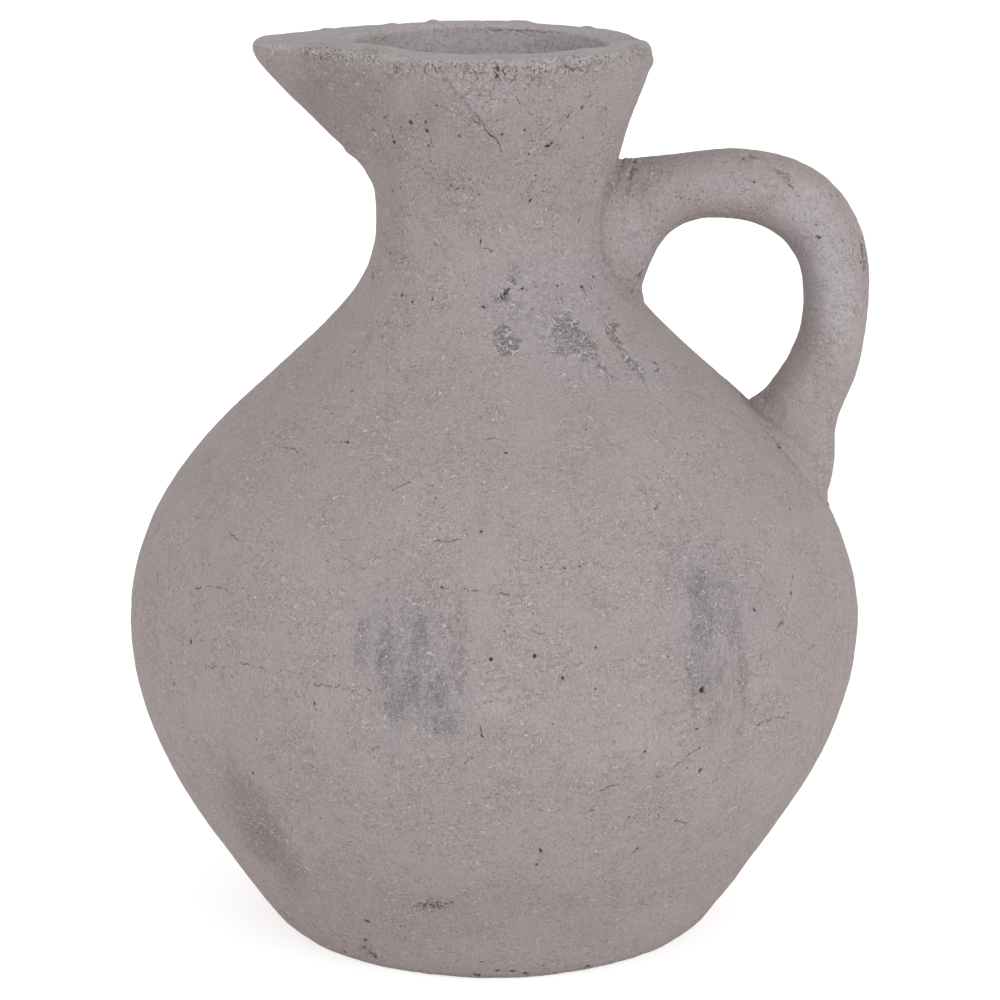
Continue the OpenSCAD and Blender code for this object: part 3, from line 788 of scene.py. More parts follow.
def arc_columns(count, surface, at, front_gain=1.6):
    """Angles round the axis at even steps along a level line of the surface, closer on the camera's side."""
    a = np.linspace(-math.pi, math.pi, 6001)
    p = surface(a, np.full(len(a), at))
    step = np.linalg.norm(np.diff(p, axis=0), axis=1)
    middle = (a[1:] + a[:-1]) / 2
    step *= 1 + (front_gain - 1) * smooth(-np.sin(middle), -0.35, 0.0)
    run = run_along(step)
    return np.interp(np.arange(count) / count * run[-1], run, a)


# Base disc

FLAT_IN_R, BEVEL = 60.0, 1.2
FOOT_ROWS, FOOT_COLUMNS = (6, 5, 12), 760


def foot_surface(theta, v):
    """From the flat underside over the worn bevel and up to the bowl: v from 0 to 3."""
    edge = outer_r(theta, np.zeros_like(theta))
    under, bevel, side = np.clip(v, 0, 1), np.clip(v - 1, 0, 1), np.clip(v - 2, 0, 1)
    turn = bevel * math.pi / 2
    z = BEVEL * (1 - np.cos(turn)) + (BASE_T - BEVEL) * side
    r = np.where(v <= 1, FLAT_IN_R + (edge - BEVEL - FLAT_IN_R) * under, edge - BEVEL + BEVEL * np.sin(turn))
    r = np.where(v > 2, outer_r(theta, z), r)
    return np.stack([r * np.cos(theta), r * np.sin(theta), z], 1)


def base_piece(material):
    """The foot, with its flat underside and the flat top that the bowl stands on."""
    columns = arc_columns(FOOT_COLUMNS, foot_surface, 2.0)
    points, faces, tones, first, last = grid(foot_surface, columns, rows_of_runs(FOOT_ROWS), 3, db=1e-3)
    points[:, 2] = np.maximum(points[:, 2], 0.0)
    faces = faces + [tuple(first[::-1]), tuple(last)]
    build("base_disc_clay", points, faces, tones, "base_disc", material, [first, last])


# Thrown bands

def thrown_piece(node, surface, low, high, step, count, at, split, material):
    """A band of the wall between two heights: outside, inside and the two end faces."""
    rows = level_rows(low, high, step)
    outer = grid(surface, arc_columns(count, surface, at), rows, split)
    inner = grid(inside, arc_columns(count // 4, inside, at), level_rows(low, high, step * 4), flip=True)
    points, faces, tones, (_, start) = join_parts([outer[:3], inner[:3]])
    low_ring, high_ring = outer[3:]
    inner_low, inner_high = ([i + start for i in ring] for ring in inner[3:])
    faces += [f[::-1] for f in zip_rings(points, low_ring, inner_low)]
    faces += zip_rings(points, high_ring, inner_high)
    rings = [low_ring, high_ring, inner_low, inner_high]
    build(node + "_clay", points, faces, tones, node, material, rings)


SPOUT_HALF_ANGLE = 1.16
SPOUT_LOW_Z, HEEL_LOW_Z = 259.5, 247.0
SEAT_GAP = 2.4
SPOUT_COLUMNS = 440


def in_spout_patch(theta, z):
    """How far under the spout's own clay a point of the neck lies, from 0 to 1."""
    return smooth(SPOUT_HALF_ANGLE - from_spout(theta), 0.0, 0.07) * smooth(z, HEEL_LOW_Z, HEEL_LOW_Z + 3)


def neck_outside(theta, z):
    """The neck's outside, which goes in under the spout as the round wall."""
    under = in_spout_patch(theta, z)
    return round_axis(theta, outer_r(theta, z) * (1 - under) + (round_r(z) - SEAT_GAP) * under, z)


def spout_patch(name, low, high, rows, node, material):
    """Clay of the spout between two heights, closed behind against the neck's round wall."""
    a = np.linspace(-1, 1, SPOUT_COLUMNS)
    half = SPOUT_HALF_ANGLE * (np.abs(a) ** 0.8) * np.sign(a)
    theta = math.pi + half
    z = np.linspace(low, high, rows)
    ga, gb = np.meshgrid(theta, z)
    shape = ga.shape
    ga, gb = ga.ravel(), gb.ravel()
    front = outside(ga, gb)
    points, dark, rough = finish_points(front, normals_of(outside, ga, gb, 1e-4, 0.02))
    back = round_axis(ga, np.minimum(round_r(gb), outer_r(ga, gb)) - SEAT_GAP / 2, gb)
    index = np.arange(len(ga)).reshape(shape)

    def quads(grid_index):
        q = np.stack([grid_index[:-1, :-1], grid_index[:-1, 1:], grid_index[1:, 1:], grid_index[1:, :-1]], -1)
        return [tuple(f) for f in q.reshape(-1, 4).tolist()]

    faces = quads(index) + [f[::-1] for f in quads(index + len(ga))]
    border = np.concatenate([index[0, :], index[1:, -1], index[-1, -2::-1], index[-2:0:-1, 0]]).tolist()
    for i, j in zip(border, border[1:] + border[:1]):
        faces.append((j, i, i + len(ga), j + len(ga)))
    zero = np.zeros(len(ga))
    points, faces, tones, _ = join_parts([(points, faces, (dark, rough)), (back, [], (zero, zero))])
    build(name, points, faces, tones, node, material, [border, [i + len(ga) for i in border]])


# Rim

LAND_ROUND, EDGE_ROUND, RIM_TURN_Z, EDGE_Z = 2.6, 1.7, 297.2, 298.2
RIM_ROWS, RIM_COLUMNS = (20, 10, 24, 7, 16), 820
# The spout's channel: its drop, its half width, and from where to where its start and its end fade
CHANNEL_DROP, CHANNEL_HALF_W, CHANNEL_STARTS, CHANNEL_ENDS = 1.5, 10.0, (38.0, 46.0), (52.0, 68.0)
SAG_HEIGHTS = (294.0, 299.0)
# Sags of the rim's top: how far it drops, the angle it is at and its spread
RIM_SAGS = ((1.1, 0.95, 0.5), (1.5, 0.25, 0.28), (0.9, -0.35, 0.3))


def rim_surface(theta, v):
    """Up the rim's face, over its edge, across the land, over the mouth's edge and down the bore.

    v goes from 0 to 5, one for each of these.
    """
    face, corner, land, lip, bore = (np.clip(v - k, 0, 1) for k in range(5))
    z_face = RIM_BASE_Z + (RIM_TURN_Z - RIM_BASE_Z) * face
    edge_r = outer_r(theta, np.full_like(theta, RIM_TURN_Z))
    mouth_r = beak(from_spout(theta), MOUTH_R, MOUTH_TIP_R, MOUTH_REACH)[0]
    turn = corner * math.pi / 2
    land_out, land_in = edge_r - LAND_ROUND, mouth_r + EDGE_ROUND
    r = np.where(v < 1, outer_r(theta, z_face), land_out + LAND_ROUND * np.cos(turn))
    z = np.where(v < 1, z_face, RIM_TURN_Z + (JUG_H - RIM_TURN_Z) * np.sin(turn))
    r = np.where(v > 2, land_out + (land_in - land_out) * land, r)
    turn = lip * math.pi / 2
    r = np.where(v > 3, land_in - EDGE_ROUND * np.sin(turn), r)
    z = np.where(v > 3, EDGE_Z + (JUG_H - EDGE_Z) * np.cos(turn), z)
    deep_r = LIP_R - NECK_WALL * math.sqrt(1 + LIP_LEAN ** 2)
    r = np.where(v > 4, mouth_r + (deep_r - mouth_r) * smooth(bore, 0.0, 1.0), r)
    z = np.where(v > 4, EDGE_Z + (RIM_BASE_Z - EDGE_Z) * bore, z)
    x, y = r * np.cos(theta), r * np.sin(theta)
    dip = hump(y, 0, CHANNEL_HALF_W) * smooth(-x, *CHANNEL_STARTS) * (1 - smooth(-x, *CHANNEL_ENDS))
    turn = np.arctan2(y, x)
    sag = sum(swell(turn, form) for form in RIM_SAGS)
    z = z - (CHANNEL_DROP * dip + sag) * smooth(z, *SAG_HEIGHTS)
    return np.stack([x + axis_shift(z), y, z], 1)


def rim_piece(material):
    """The rim coil, closed below where it sits on the neck and the spout."""
    columns = arc_columns(RIM_COLUMNS, rim_surface, 1.0)
    points, faces, tones, first, last = grid(rim_surface, columns, rows_of_runs(RIM_ROWS), db=1e-3)
    faces += [f[::-1] for f in zip_rings(points, first, last)]
    build("rim_coil_clay", points, faces, tones, "rim_coil", material, [first, last])


# Handle and the clay smeared round its ends

STRAP_COLUMNS, STRAP_ROWS = 132, 420
SMEAR_COLUMNS, SMEAR_ROWS = 420, 48


def handle_piece(material):
    """The strap, closed by a face at each end."""
    around = np.linspace(0, 2 * math.pi, STRAP_COLUMNS, endpoint=False)
    t = np.linspace(0, 1, STRAP_ROWS)
    points, faces, tones, first, last = grid(strap, around, t, 2, da=1e-4, db=1e-4, flip=True)
    faces += [tuple(first), tuple(last[::-1])]
    build("handle_clay", points, faces, tones, "handle", material, [first, last])


# Of each smear: how far up the strap it runs, how full it is, the height of its raised edge and where that is
ROOT_SMEAR, FOOT_SMEAR = (8.0, 0.3, 0.22, 0.25), (7.0, 0.42, 0.4, 0.1)
# How deep its edges go into the wall and the strap, how far it stays off their corner, and its hidden back
SMEAR_SINK, STRAP_SINK, CORNER_LIFT, HIDDEN_IN, HIDDEN_SINK = 0.15, 0.12, 0.1, 1.0, 1.6


def smear_point(at_root, a, s):
    """A point of the smeared clay, from the wall at s = 0 up onto the strap at s = 1."""
    run, fullness, bead, bead_at = ROOT_SMEAR if at_root else FOOT_SMEAR
    on_clay = end_ring(at_root, a, smear_reach(at_root, a), SMEAR_SINK)
    corner = end_ring(at_root, a, np.zeros_like(a), -CORNER_LIFT)
    length = run / HANDLE_RUN * (0.55 + 0.45 * np.sin(a) ** 2)
    on_strap = strap(a, length if at_root else 1 - length, -STRAP_SINK)
    s = s[:, None]
    hollow = corner + (on_clay + on_strap - 2 * corner) * fullness
    p = on_clay * (1 - s) ** 2 + 2 * hollow * s * (1 - s) + on_strap * s ** 2
    out = p * np.array([1.0, 1.0, 0.0])
    out /= np.linalg.norm(out, axis=1)[:, None]
    return p + out * (bead * smooth(s, 0.0, bead_at) * (1 - smooth(s, bead_at * 1.3, bead_at * 4)))


def smear_piece(name, at_root, node, material):
    """A fillet of smeared clay from the wall up onto the strap, closed behind inside the wall."""
    around = np.linspace(0, 2 * math.pi, SMEAR_COLUMNS, endpoint=False)
    s_rows = np.linspace(0, 1, SMEAR_ROWS) ** 1.4

    def surface(a, s):
        return smear_point(at_root, a, s)

    points, faces, tones, first, last = grid(surface, around, s_rows, db=1e-3, flip=at_root)
    hidden = end_ring(at_root, around, np.full_like(around, -HIDDEN_IN), HIDDEN_SINK)
    start, n = len(points), len(around)
    points, faces, tones, _ = join_parts([(points, faces, tones), (hidden, [], (np.zeros(n), np.zeros(n)))])
    for ring, turn in ((first, not at_root), (last, at_root)):
        for k in range(n):
            f = (ring[k], ring[(k + 1) % n], start + (k + 1) % n, start + k)
            faces.append(f[::-1] if turn else f)
    build(name, points, faces, tones, node, material, [first, last])


# Materials

# Linear colours: the clay's own, then those of what lies on it or is cut into it, and of painted shade and
# light
CLAY_LIGHT, CLAY_MID, CLAY_DARK = (0.445, 0.392, 0.384), (0.362, 0.312, 0.304), (0.268, 0.227, 0.219)
REDDISH, BLUISH = (0.385, 0.305, 0.280), (0.350, 0.322, 0.342)
# The first of these is painted shade where the view shows shade, and random darker patches behind
SHADE_AND_DARK_TONE, WARM = (0.245, 0.205, 0.198), (0.415, 0.312, 0.272)
# The second of these is painted light, and random paler patches behind
HAZE, LIGHT_AND_PALE_TONE = (0.345, 0.314, 0.362), (0.508, 0.474, 0.498)
# The curls' pale colour, then the painted shadow beside them
CURL, GROOVE_SHADOW = (0.56, 0.51, 0.505), (0.21, 0.176, 0.170)
SHOULDER_SOOT, BELLY_SOOT, SCALE_EDGE = (0.088, 0.087, 0.092), (0.118, 0.109, 0.122), (0.60, 0.56, 0.56)
# The last is painted shade in the torn clay's gaps
FLECK, GRIT, CHIP, TEAR_SHADE = (0.60, 0.55, 0.54), (0.13, 0.108, 0.103), (0.60, 0.555, 0.545), (0.10, 0.083, 0.079)
# Painted shade in pores, cracks, nicks and pits
CAVITY_SHADE = (0.055, 0.044, 0.041)


def clay_material(name, tint, torn_gain=1.0, calm_share=0.12):
    """Dry unglazed clay: mottled grey with pale flecks, grit, smoky stains, warm fired patches and pores, and
    painted shade and light.
    """
    material = bpy.data.materials.new(name)
    material.use_nodes = True
    tree = material.node_tree
    tree.nodes.clear()
    output = tree.nodes.new("ShaderNodeOutputMaterial")
    shader = tree.nodes.new("ShaderNodeBsdfPrincipled")
    tree.links.new(shader.outputs[0], output.inputs[0])
    shader.inputs["Specular IOR Level"].default_value = 0.2
    place = tree.nodes.new("ShaderNodeTexCoord").outputs["Object"]

    def link(value, socket):
        """Links another node's output to a socket, or sets a number or colour on it."""
        if hasattr(value, "links"):
            tree.links.new(value, socket)
        elif socket.type == "RGBA":
            socket.default_value = (*value, 1.0)
        else:
            socket.default_value = value

    def make(kind, inputs, **settings):
        """A node with its settings, and with its inputs linked or set."""
        node = tree.nodes.new("ShaderNode" + kind)
        for key, value in settings.items():
            setattr(node, key, value)
        for key, value in inputs.items():
            link(value, node.inputs[key])
        return node

    def maths(kind, a, b=0.0, clamp=False):
        return make("Math", {0: a, 1: b}, operation=kind, use_clamp=clamp).outputs[0]

    def stretched(scale, where=None):
        return make("Mapping", {"Scale": scale, "Vector": where or place}).outputs[0]

    def warped(cell_mm, reach_mm):
        """The place, moved about by up to the reach."""
        wander = make("TexNoise", {"Scale": 1 / (cell_mm * MM), "Vector": place}).outputs["Color"]
        moved = {0: wander, 1: (reach_mm * MM,) * 3, 2: place}
        return make("VectorMath", moved, operation="MULTIPLY_ADD").outputs[0]

    def cell_edges(cell_mm, where):
        """The distance to the nearest edge between cells."""
        inputs = {"Scale": 1 / (cell_mm * MM), "Vector": where}
        return make("TexVoronoi", inputs, feature="DISTANCE_TO_EDGE").outputs["Distance"]

    def noise(cell_mm, detail=2.0, rough=0.5, where=None, twist=0.0):
        """Noise with features of about cell_mm, from 0 to 1."""
        inputs = {"Scale": 1 / (cell_mm * MM), "Detail": detail, "Roughness": rough, "Distortion": twist}
        return make("TexNoise", {**inputs, "Vector": where or place}).outputs["Fac"]

    def ramp(value, low, high):
        """From 0 at low to 1 at high, with soft ends. Low may be the larger of the two."""
        inputs = {"Value": value, "From Min": low, "From Max": high}
        return make("MapRange", inputs, interpolation_type="SMOOTHSTEP").outputs[0]

    def attribute(label):
        return make("Attribute", {}, attribute_name=label).outputs["Fac"]

    def blend(a, b, share):
        return make("Mix", {6: a, 7: b, 0: share}, data_type="RGBA").outputs[2]

    def times(value, factor):
        return maths("MULTIPLY", value, factor)

    def add(a, b):
        return maths("ADD", a, b)

    def less(a, b):
        return maths("SUBTRACT", a, b)

    light, colour, dark = ([c * t for c, t in zip(tone, tint)] for tone in (CLAY_LIGHT, CLAY_MID, CLAY_DARK))

    def coat(tone, share, gain):
        """Lays a tone over the colour so far."""
        nonlocal colour
        colour = blend(colour, tone, times(share, gain))

    height_z = make("SeparateXYZ", {0: place}).outputs["Z"]
    broad, middle, fine = noise(26.0, 3.0), noise(7.0, 3.0, 0.6), noise(1.8, 3.0, 0.65)
    grain, dust = noise(0.75, 2.0, 0.6), noise(0.36, 1.0)
    for tone, cover, low, high, gain in (
            (light, broad, 0.45, 0.72, 0.45), (dark, middle, 0.50, 0.76, 0.5), (light, fine, 0.50, 0.68, 0.4),
            (dark, fine, 0.46, 0.30, 0.3), (REDDISH, noise(36.0, 2.0), 0.48, 0.70, 0.4),
            (BLUISH, noise(29.0, 2.0), 0.52, 0.72, 0.4)):
        coat(tone, ramp(cover, low, high), gain)
    # Of these, the darker tone lays painted shade and the paler one painted light
    for tone, label, cover, low, high, gain in (
            (SHADE_AND_DARK_TONE, "shade_and_dark", middle, 0.1, 0.5, 0.72), (WARM, "warm", middle, 0.2, 0.6, 0.6),
            (HAZE, "haze", fine, 0.2, 0.6, 0.72), (LIGHT_AND_PALE_TONE, "light_and_pale", fine, 0.15, 0.6, 0.66)):
        coat(tone, times(attribute(label), ramp(cover, low, high)), gain)

    # The stains run in upright streaks on the belly, and lie in level scales on the shoulder
    stain = attribute("stain")
    on_belly = ramp(height_z, 0.170, 0.150)
    streaks = noise(3.4, 3.0, 0.6, stretched((1.0, 1.0, 0.15)), 0.4)
    hairs = noise(1.1, 2.0, 0.6, stretched((1.0, 1.0, 0.22)), 0.5)
    uneven = add(times(less(streaks, 0.5), 1.4), times(less(hairs, 0.5), 1.9))
    streaky = times(ramp(add(stain, uneven), -0.05, 1.35), 0.97)
    scales = noise(2.6, 3.0, 0.6, stretched((0.5, 0.5, 1.5)), 0.7)
    edges = ramp(cell_edges(2.0, stretched((0.5, 0.5, 1.25), warped(2.2, 2.4))), 0.085, 0.03)
    edges = times(edges, ramp(noise(1.7, 1.0), 0.43, 0.53))
    scaly = ramp(add(stain, times(less(scales, 0.5), 2.4)), 0.34, 0.92)
    scaly = times(scaly, less(1.0, times(edges, 0.9)))
    smoke = add(scaly, times(less(streaky, scaly), on_belly))
    smoke = times(smoke, ramp(stain, 0.0, 0.25))
    threads = ramp(noise(1.25, 2.0, 0.65, stretched((0.6, 0.6, 1.3)), 0.8), 0.40, 0.57)
    smoke = times(smoke, add(times(threads, 0.34), 0.66))
    coat(blend(SHOULDER_SOOT, BELLY_SOOT, on_belly), smoke, 0.94)
    scale_light = maths("MAXIMUM", ramp(stain, 0.15, 0.5), times(attribute("haze"), 0.4))
    scale_light = times(times(edges, scale_light), ramp(height_z, 0.150, 0.170))
    coat(SCALE_EDGE, scale_light, 0.9)

    # Grains, specks, brushed lines, then light curls with painted shadow beside them; all fainter where the
    # skin is calm
    unspeckled = colour
    brush = noise(0.55, 2.0, 0.6, stretched((1.0, 1.0, 0.35)), 0.3)
    for tone, cover, low, high, gain in (
            (light, grain, 0.53, 0.66, 0.5), (dark, grain, 0.47, 0.34, 0.5),
            (light, dust, 0.52, 0.66, 0.6), (dark, dust, 0.48, 0.34, 0.55),
            (light, brush, 0.53, 0.68, 0.45), (dark, brush, 0.47, 0.32, 0.45)):
        coat(tone, ramp(cover, low, high), gain)
    curls = noise(2.4, 1.5, 0.5, stretched((1.0, 1.0, 1.3)), 1.2)
    broken = ramp(noise(1.9, 1.0), 0.45, 0.53)
    thick = ramp(add(noise(14.0, 2.0), times(ramp(height_z, 0.100, 0.050), 0.07)), 0.35, 0.60)
    thick = maths("MAXIMUM", thick, ramp(smoke, 0.2, 0.6))
    raised = times(times(ramp(maths("ABSOLUTE", less(curls, 0.52)), 0.034, 0.012), broken), thick)
    # A line of painted shadow beside each light curl, which also dips a little in the bump
    shaded_groove = times(times(ramp(maths("ABSOLUTE", less(curls, 0.45)), 0.026, 0.010), broken), thick)
    coat(CURL, raised, 0.9)
    coat(GROOVE_SHADOW, shaded_groove, 0.5)
    coat(unspeckled, ramp(noise(15.0, 2.0, 0.6), 0.62 - calm_share, 0.76 - calm_share), 0.3)

    # Flecks, grit, torn clay with painted shade in its gaps, and the cut marks with painted shade in them
    flecks = ramp(noise(0.85, 1.5, 0.6, None, 0.6), 0.66, 0.76)
    coat(FLECK, times(flecks, ramp(noise(4.0, 2.0), 0.48, 0.62)), 0.6)
    on_neck = times(ramp(height_z, 0.195, 0.225), 0.03)
    grit = ramp(add(noise(1.0, 1.5, 0.6, None, 0.6), on_neck), 0.685, 0.745)
    grit = times(grit, ramp(noise(11.0, 2.0), 0.44, 0.58))
    coat(GRIT, grit, 0.65)
    torn = times(attribute("torn"), ramp(noise(3.6, 2.0, 0.6), 0.27, 0.50))
    chips = times(torn, ramp(noise(0.95, 2.0, 0.65, stretched((1.0, 1.0, 0.85)), 0.8), 0.53, 0.62))
    coat(CHIP, chips, 0.85)
    # Painted shade in the gaps of the torn clay, which also dip in the bump
    strokes = ramp(noise(0.9, 2.0, 0.65, stretched((1.0, 1.0, 0.75)), 1.1), 0.555, 0.635)
    shaded_gaps = times(times(torn, strokes), torn_gain)
    coat(TEAR_SHADE, shaded_gaps, 0.82)
    # Painted shade in the marks' hollows and in the torn clay's pits
    coat(CAVITY_SHADE, ramp(attribute("cavity_shade"), 0.05, 0.85), 0.95)
    link(colour, shader.inputs["Base Color"])

    link(maths("ADD", times(fine, 0.12), 0.84, True), shader.inputs["Roughness"])
    height = times(fine, 0.17)
    for part, share in ((grain, 0.12), (dust, 0.06), (raised, 0.11), (scale_light, 0.12), (shaded_groove, -0.06),
                        (add(grit, shaded_gaps), -0.2), (chips, 0.15)):
        height = add(height, times(part, share))
    bump = make("Bump", {"Strength": 1.0, "Distance": 0.001, "Height": height})
    link(bump.outputs[0], shader.inputs["Normal"])
    return material


# The stage

def seen_plainly(tree):
    """1 for the rays of the camera, of reflections and of glass, and 0 for the rays that light the clay."""
    path = tree.nodes.new("ShaderNodeLightPath")
    seen = path.outputs["Is Camera Ray"]
    for label in ("Is Glossy Ray", "Is Transmission Ray"):
        either = tree.nodes.new("ShaderNodeMath")
        either.operation = "MAXIMUM"
        tree.links.new(seen, either.inputs[0])
        tree.links.new(path.outputs[label], either.inputs[1])
        seen = either.outputs[0]
    return seen


def level_by_ray(tree, lighting, seen):
    """One strength for the light that falls on the clay, and another for what the camera sees."""
    level = tree.nodes.new("ShaderNodeMapRange")
    tree.links.new(seen_plainly(tree), level.inputs["Value"])
    level.inputs["To Min"].default_value = lighting
    level.inputs["To Max"].default_value = seen
    return level.outputs[0]


FLOOR_HALF, FLOOR_GLOW, FLOOR_BOUNCE = 12.0, 0.56, 0.15
WORLD_LIGHT = 0.575
# Name, place in metres, power in watts and size in metres of each lamp
LAMPS = (("key", (1.47, -1.35, 1.05), 18.5, 1.4), ("fill", (-1.66, -1.12, 1.05), 13.0, 1.5),
         ("rear", (0.4, 2.1, 0.85), 6.5, 1.5))
AIM_Z = 0.14


def make_stage():
    """The floor, the white background and the lamps."""
    material = bpy.data.materials.new("floor_white")
    material.use_nodes = True
    shader = material.node_tree.nodes["Principled BSDF"]
    shader.inputs["Base Color"].default_value = (0.8, 0.8, 0.8, 1)
    shader.inputs["Roughness"].default_value = 1.0
    shader.inputs["Specular IOR Level"].default_value = 0.0
    shader.inputs["Emission Color"].default_value = (1, 1, 1, 1)
    glow = level_by_ray(material.node_tree, FLOOR_BOUNCE, FLOOR_GLOW)
    material.node_tree.links.new(glow, shader.inputs["Emission Strength"])
    mesh = bpy.data.meshes.new("floor")
    corners = [(x * FLOOR_HALF, y * FLOOR_HALF, 0) for x, y in ((-1, -1), (1, -1), (1, 1), (-1, 1))]
    mesh.from_pydata(corners, [], [(0, 1, 2, 3)])
    mesh.materials.append(material)
    floor = bpy.data.objects.new("floor", mesh)
    bpy.context.scene.collection.objects.link(floor)

    world = bpy.data.worlds.new("studio")
    bpy.context.scene.world = world
    world.use_nodes = True
    back = world.node_tree.nodes["Background"]
    back.inputs["Color"].default_value = (1, 1, 1, 1)
    world.node_tree.links.new(level_by_ray(world.node_tree, WORLD_LIGHT, 1.0), back.inputs["Strength"])

    for name, at, power, size in LAMPS:
        data = bpy.data.lights.new(name, "AREA")
        data.energy, data.size = power, size
        lamp = bpy.data.objects.new(name, data)
        lamp.location = at
        bpy.context.scene.collection.objects.link(lamp)
        aim = np.array([0.0, 0.0, AIM_Z]) - np.array(at)
        tilt = math.atan2(math.hypot(aim[0], aim[1]), -aim[2])
        lamp.rotation_euler = (tilt, 0.0, math.atan2(-aim[0], aim[1]))


def make_camera():
    """The camera at the photograph's view."""
    data = bpy.data.cameras.new("view")
    data.lens, data.sensor_width = CAM_LENS, CAM_SENSOR
    data.shift_x = (PHOTO_W / 2 - AXIS_U) / PHOTO_W
    data.clip_start, data.clip_end = 0.05, 50.0
    camera = bpy.data.objects.new("view", data)
    camera.location = CAM_AT * MM
    camera.rotation_euler = (math.pi / 2 - CAM_PITCH, 0, 0)
    bpy.context.scene.collection.objects.link(camera)
    bpy.context.scene.camera = camera


# Marks seen in the photograph, by pixel

# Round pores, by their radius in mm
PORES = {
    1.25: ((703, 691),),
    0.9: ((491, 660), (410, 123),),
    0.85: ((191, 641), (497, 301),),
    0.75: ((562, 678), (394, 142), (427, 131), (547, 147),),
    0.7: ((534, 657), (755, 609), (540, 851), (425, 122),),
    0.65: ((201, 642), (700, 748), (508, 290),),
    0.6: (
        (481, 532), (688, 454), (780, 451), (645, 752), (592, 810), (637, 849), (697, 729), (252, 773),
        (401, 296), (552, 143), (345, 36), (141, 620), (825, 687), (502, 299), (505, 294),
    ),
    0.55: (
        (348, 441), (412, 301), (449, 299), (429, 147), (528, 155), (506, 301), (582, 287), (484, 306),
    ),
    0.5: (
        (229, 645), (597, 689), (628, 818), (537, 865), (710, 719), (182, 729), (256, 740), (297, 802),
        (401, 927), (476, 299), (393, 191), (502, 135), (524, 130), (606, 110), (594, 277), (390, 252),
        (172, 520), (597, 57), (584, 292), (522, 288),
    ),
    0.45: (
        (171, 662), (506, 452), (687, 822), (315, 704), (485, 307), (400, 189), (431, 161), (583, 138),
        (378, 31), (557, 286),
    ),
    0.4: (
        (282, 670), (655, 507), (255, 850), (432, 299), (437, 106), (535, 176), (592, 105), (579, 565),
        (386, 167), (501, 295), (557, 295), (526, 290),
    ),
    0.35: (
        (590, 671), (320, 818), (538, 165), (598, 108), (541, 566), (436, 498), (373, 130), (339, 36),
        (603, 109), (611, 112), (567, 107), (561, 284),
    ),
    0.3: ((423, 293), (560, 145), (572, 113), (546, 277), (401, 132), (417, 115),),
    0.25: ((497, 120),),
}
# Fine cracks, by how strong they look: half width and depth in mm before the fineness below
CRACKS = {
    (0.6, 0.8): (((474, 72), (477, 77)),),
    (0.55, 0.9): (((372, 272), (374, 281)),),
    (0.55, 0.8): (((563, 59), (567, 66), (573, 72)), ((533, 62), (529, 70), (531, 77)),),
    (0.55, 0.7): (((496, 302), (506, 302), (509, 289), (496, 302)),),
    (0.5, 0.8): (
        ((550, 568), (557, 564), (565, 567)), ((480, 240), (483, 248), (491, 250)),
        ((493, 72), (498, 78)),
    ),
    (0.5, 0.7): (((500, 66), (504, 74)),),
    (0.5, 0.6): (((582, 286), (584, 291), (587, 296)),),
    (0.45, 0.7): (
        ((283, 446), (293, 450), (302, 453)), ((231, 533), (239, 541)),
        ((668, 650), (669, 657), (672, 661)), ((602, 790), (612, 787), (620, 785)),
        ((657, 776), (668, 772), (677, 764), (699, 749)), ((808, 651), (814, 645), (819, 642)),
        ((540, 66), (541, 71)),
    ),
    (0.45, 0.6): (
        ((440, 587), (462, 588), (486, 592), (507, 595)),
        ((195, 590), (207, 586), (218, 586), (228, 592), (245, 588)),
        ((393, 488), (400, 484), (411, 482)), ((672, 821), (690, 822)), ((760, 658), (767, 654)),
        ((836, 630), (842, 624)), ((463, 763), (468, 758), (473, 757)), ((480, 724), (483, 735)),
        ((484, 63), (492, 65), (500, 62)), ((395, 67), (397, 75)), ((586, 100), (590, 98)),
        ((815, 760), (818, 754)),
    ),
    (0.44, 0.7): (((481, 125), (490, 135), (498, 141), (500, 148), (503, 153)),),
    (0.42, 0.6): (((432, 540), (446, 541), (460, 542)),),
    (0.42, 0.5): (((295, 670), (318, 685), (345, 686), (375, 691)),),
    (0.4, 0.6): (((644, 670), (655, 672)), ((776, 630), (783, 624)), ((157, 573), (158, 581)),),
    (0.4, 0.5): (
        ((200, 667), (222, 668), (246, 664), (270, 671)), ((630, 856), (638, 848)),
        ((757, 725), (772, 719), (784, 716), (791, 711)), ((790, 602), (791, 588), (793, 575)),
        ((434, 728), (436, 737)), ((314, 700), (315, 712)), ((655, 509), (660, 503)),
    ),
    (0.36, 0.5): (((517, 97), (521, 105), (527, 111), (533, 116), (541, 119)),),
    (0.35, 0.5): (
        ((380, 577), (400, 578)), ((322, 443), (336, 441), (350, 442)),
        ((465, 437), (480, 440), (497, 438)), ((574, 566), (584, 564)),
        ((766, 791), (778, 781), (790, 770)),
    ),
    (0.35, 0.4): (((650, 836), (656, 820), (661, 804)), ((491, 250), (498, 250)),),
    (0.34, 0.4): (
        ((387, 122), (391, 134), (394, 141)), ((655, 372), (661, 366), (668, 360)),
        ((428, 128), (430, 138), (433, 150)), ((478, 232), (481, 240)),
    ),
    (0.32, 0.4): (
        ((451, 117), (460, 120), (472, 121), (481, 125)), ((451, 170), (457, 173), (464, 181)),
    ),
    (0.3, 0.35): (((290, 838), (330, 836), (375, 827)),),
    (0.3, 0.3): (
        ((470, 189), (480, 195)), ((650, 360), (666, 372)), ((446, 178), (452, 184), (449, 190)),
        ((456, 190), (462, 186), (468, 191)), ((460, 176), (466, 180), (470, 177)),
        ((560, 122), (566, 118), (573, 112)),
    ),
}
# Pores and cracks: their darkness is painted shade in them
PORE_WIDTH, PORE_DEPTH, PORE_WOBBLE = 0.82, 0.9, 0.45
CRACK_FINENESS, CRACK_DEPTH, CRACK_SHADE, CRACK_WOBBLE = 0.46, 0.6, 0.72, 0.9
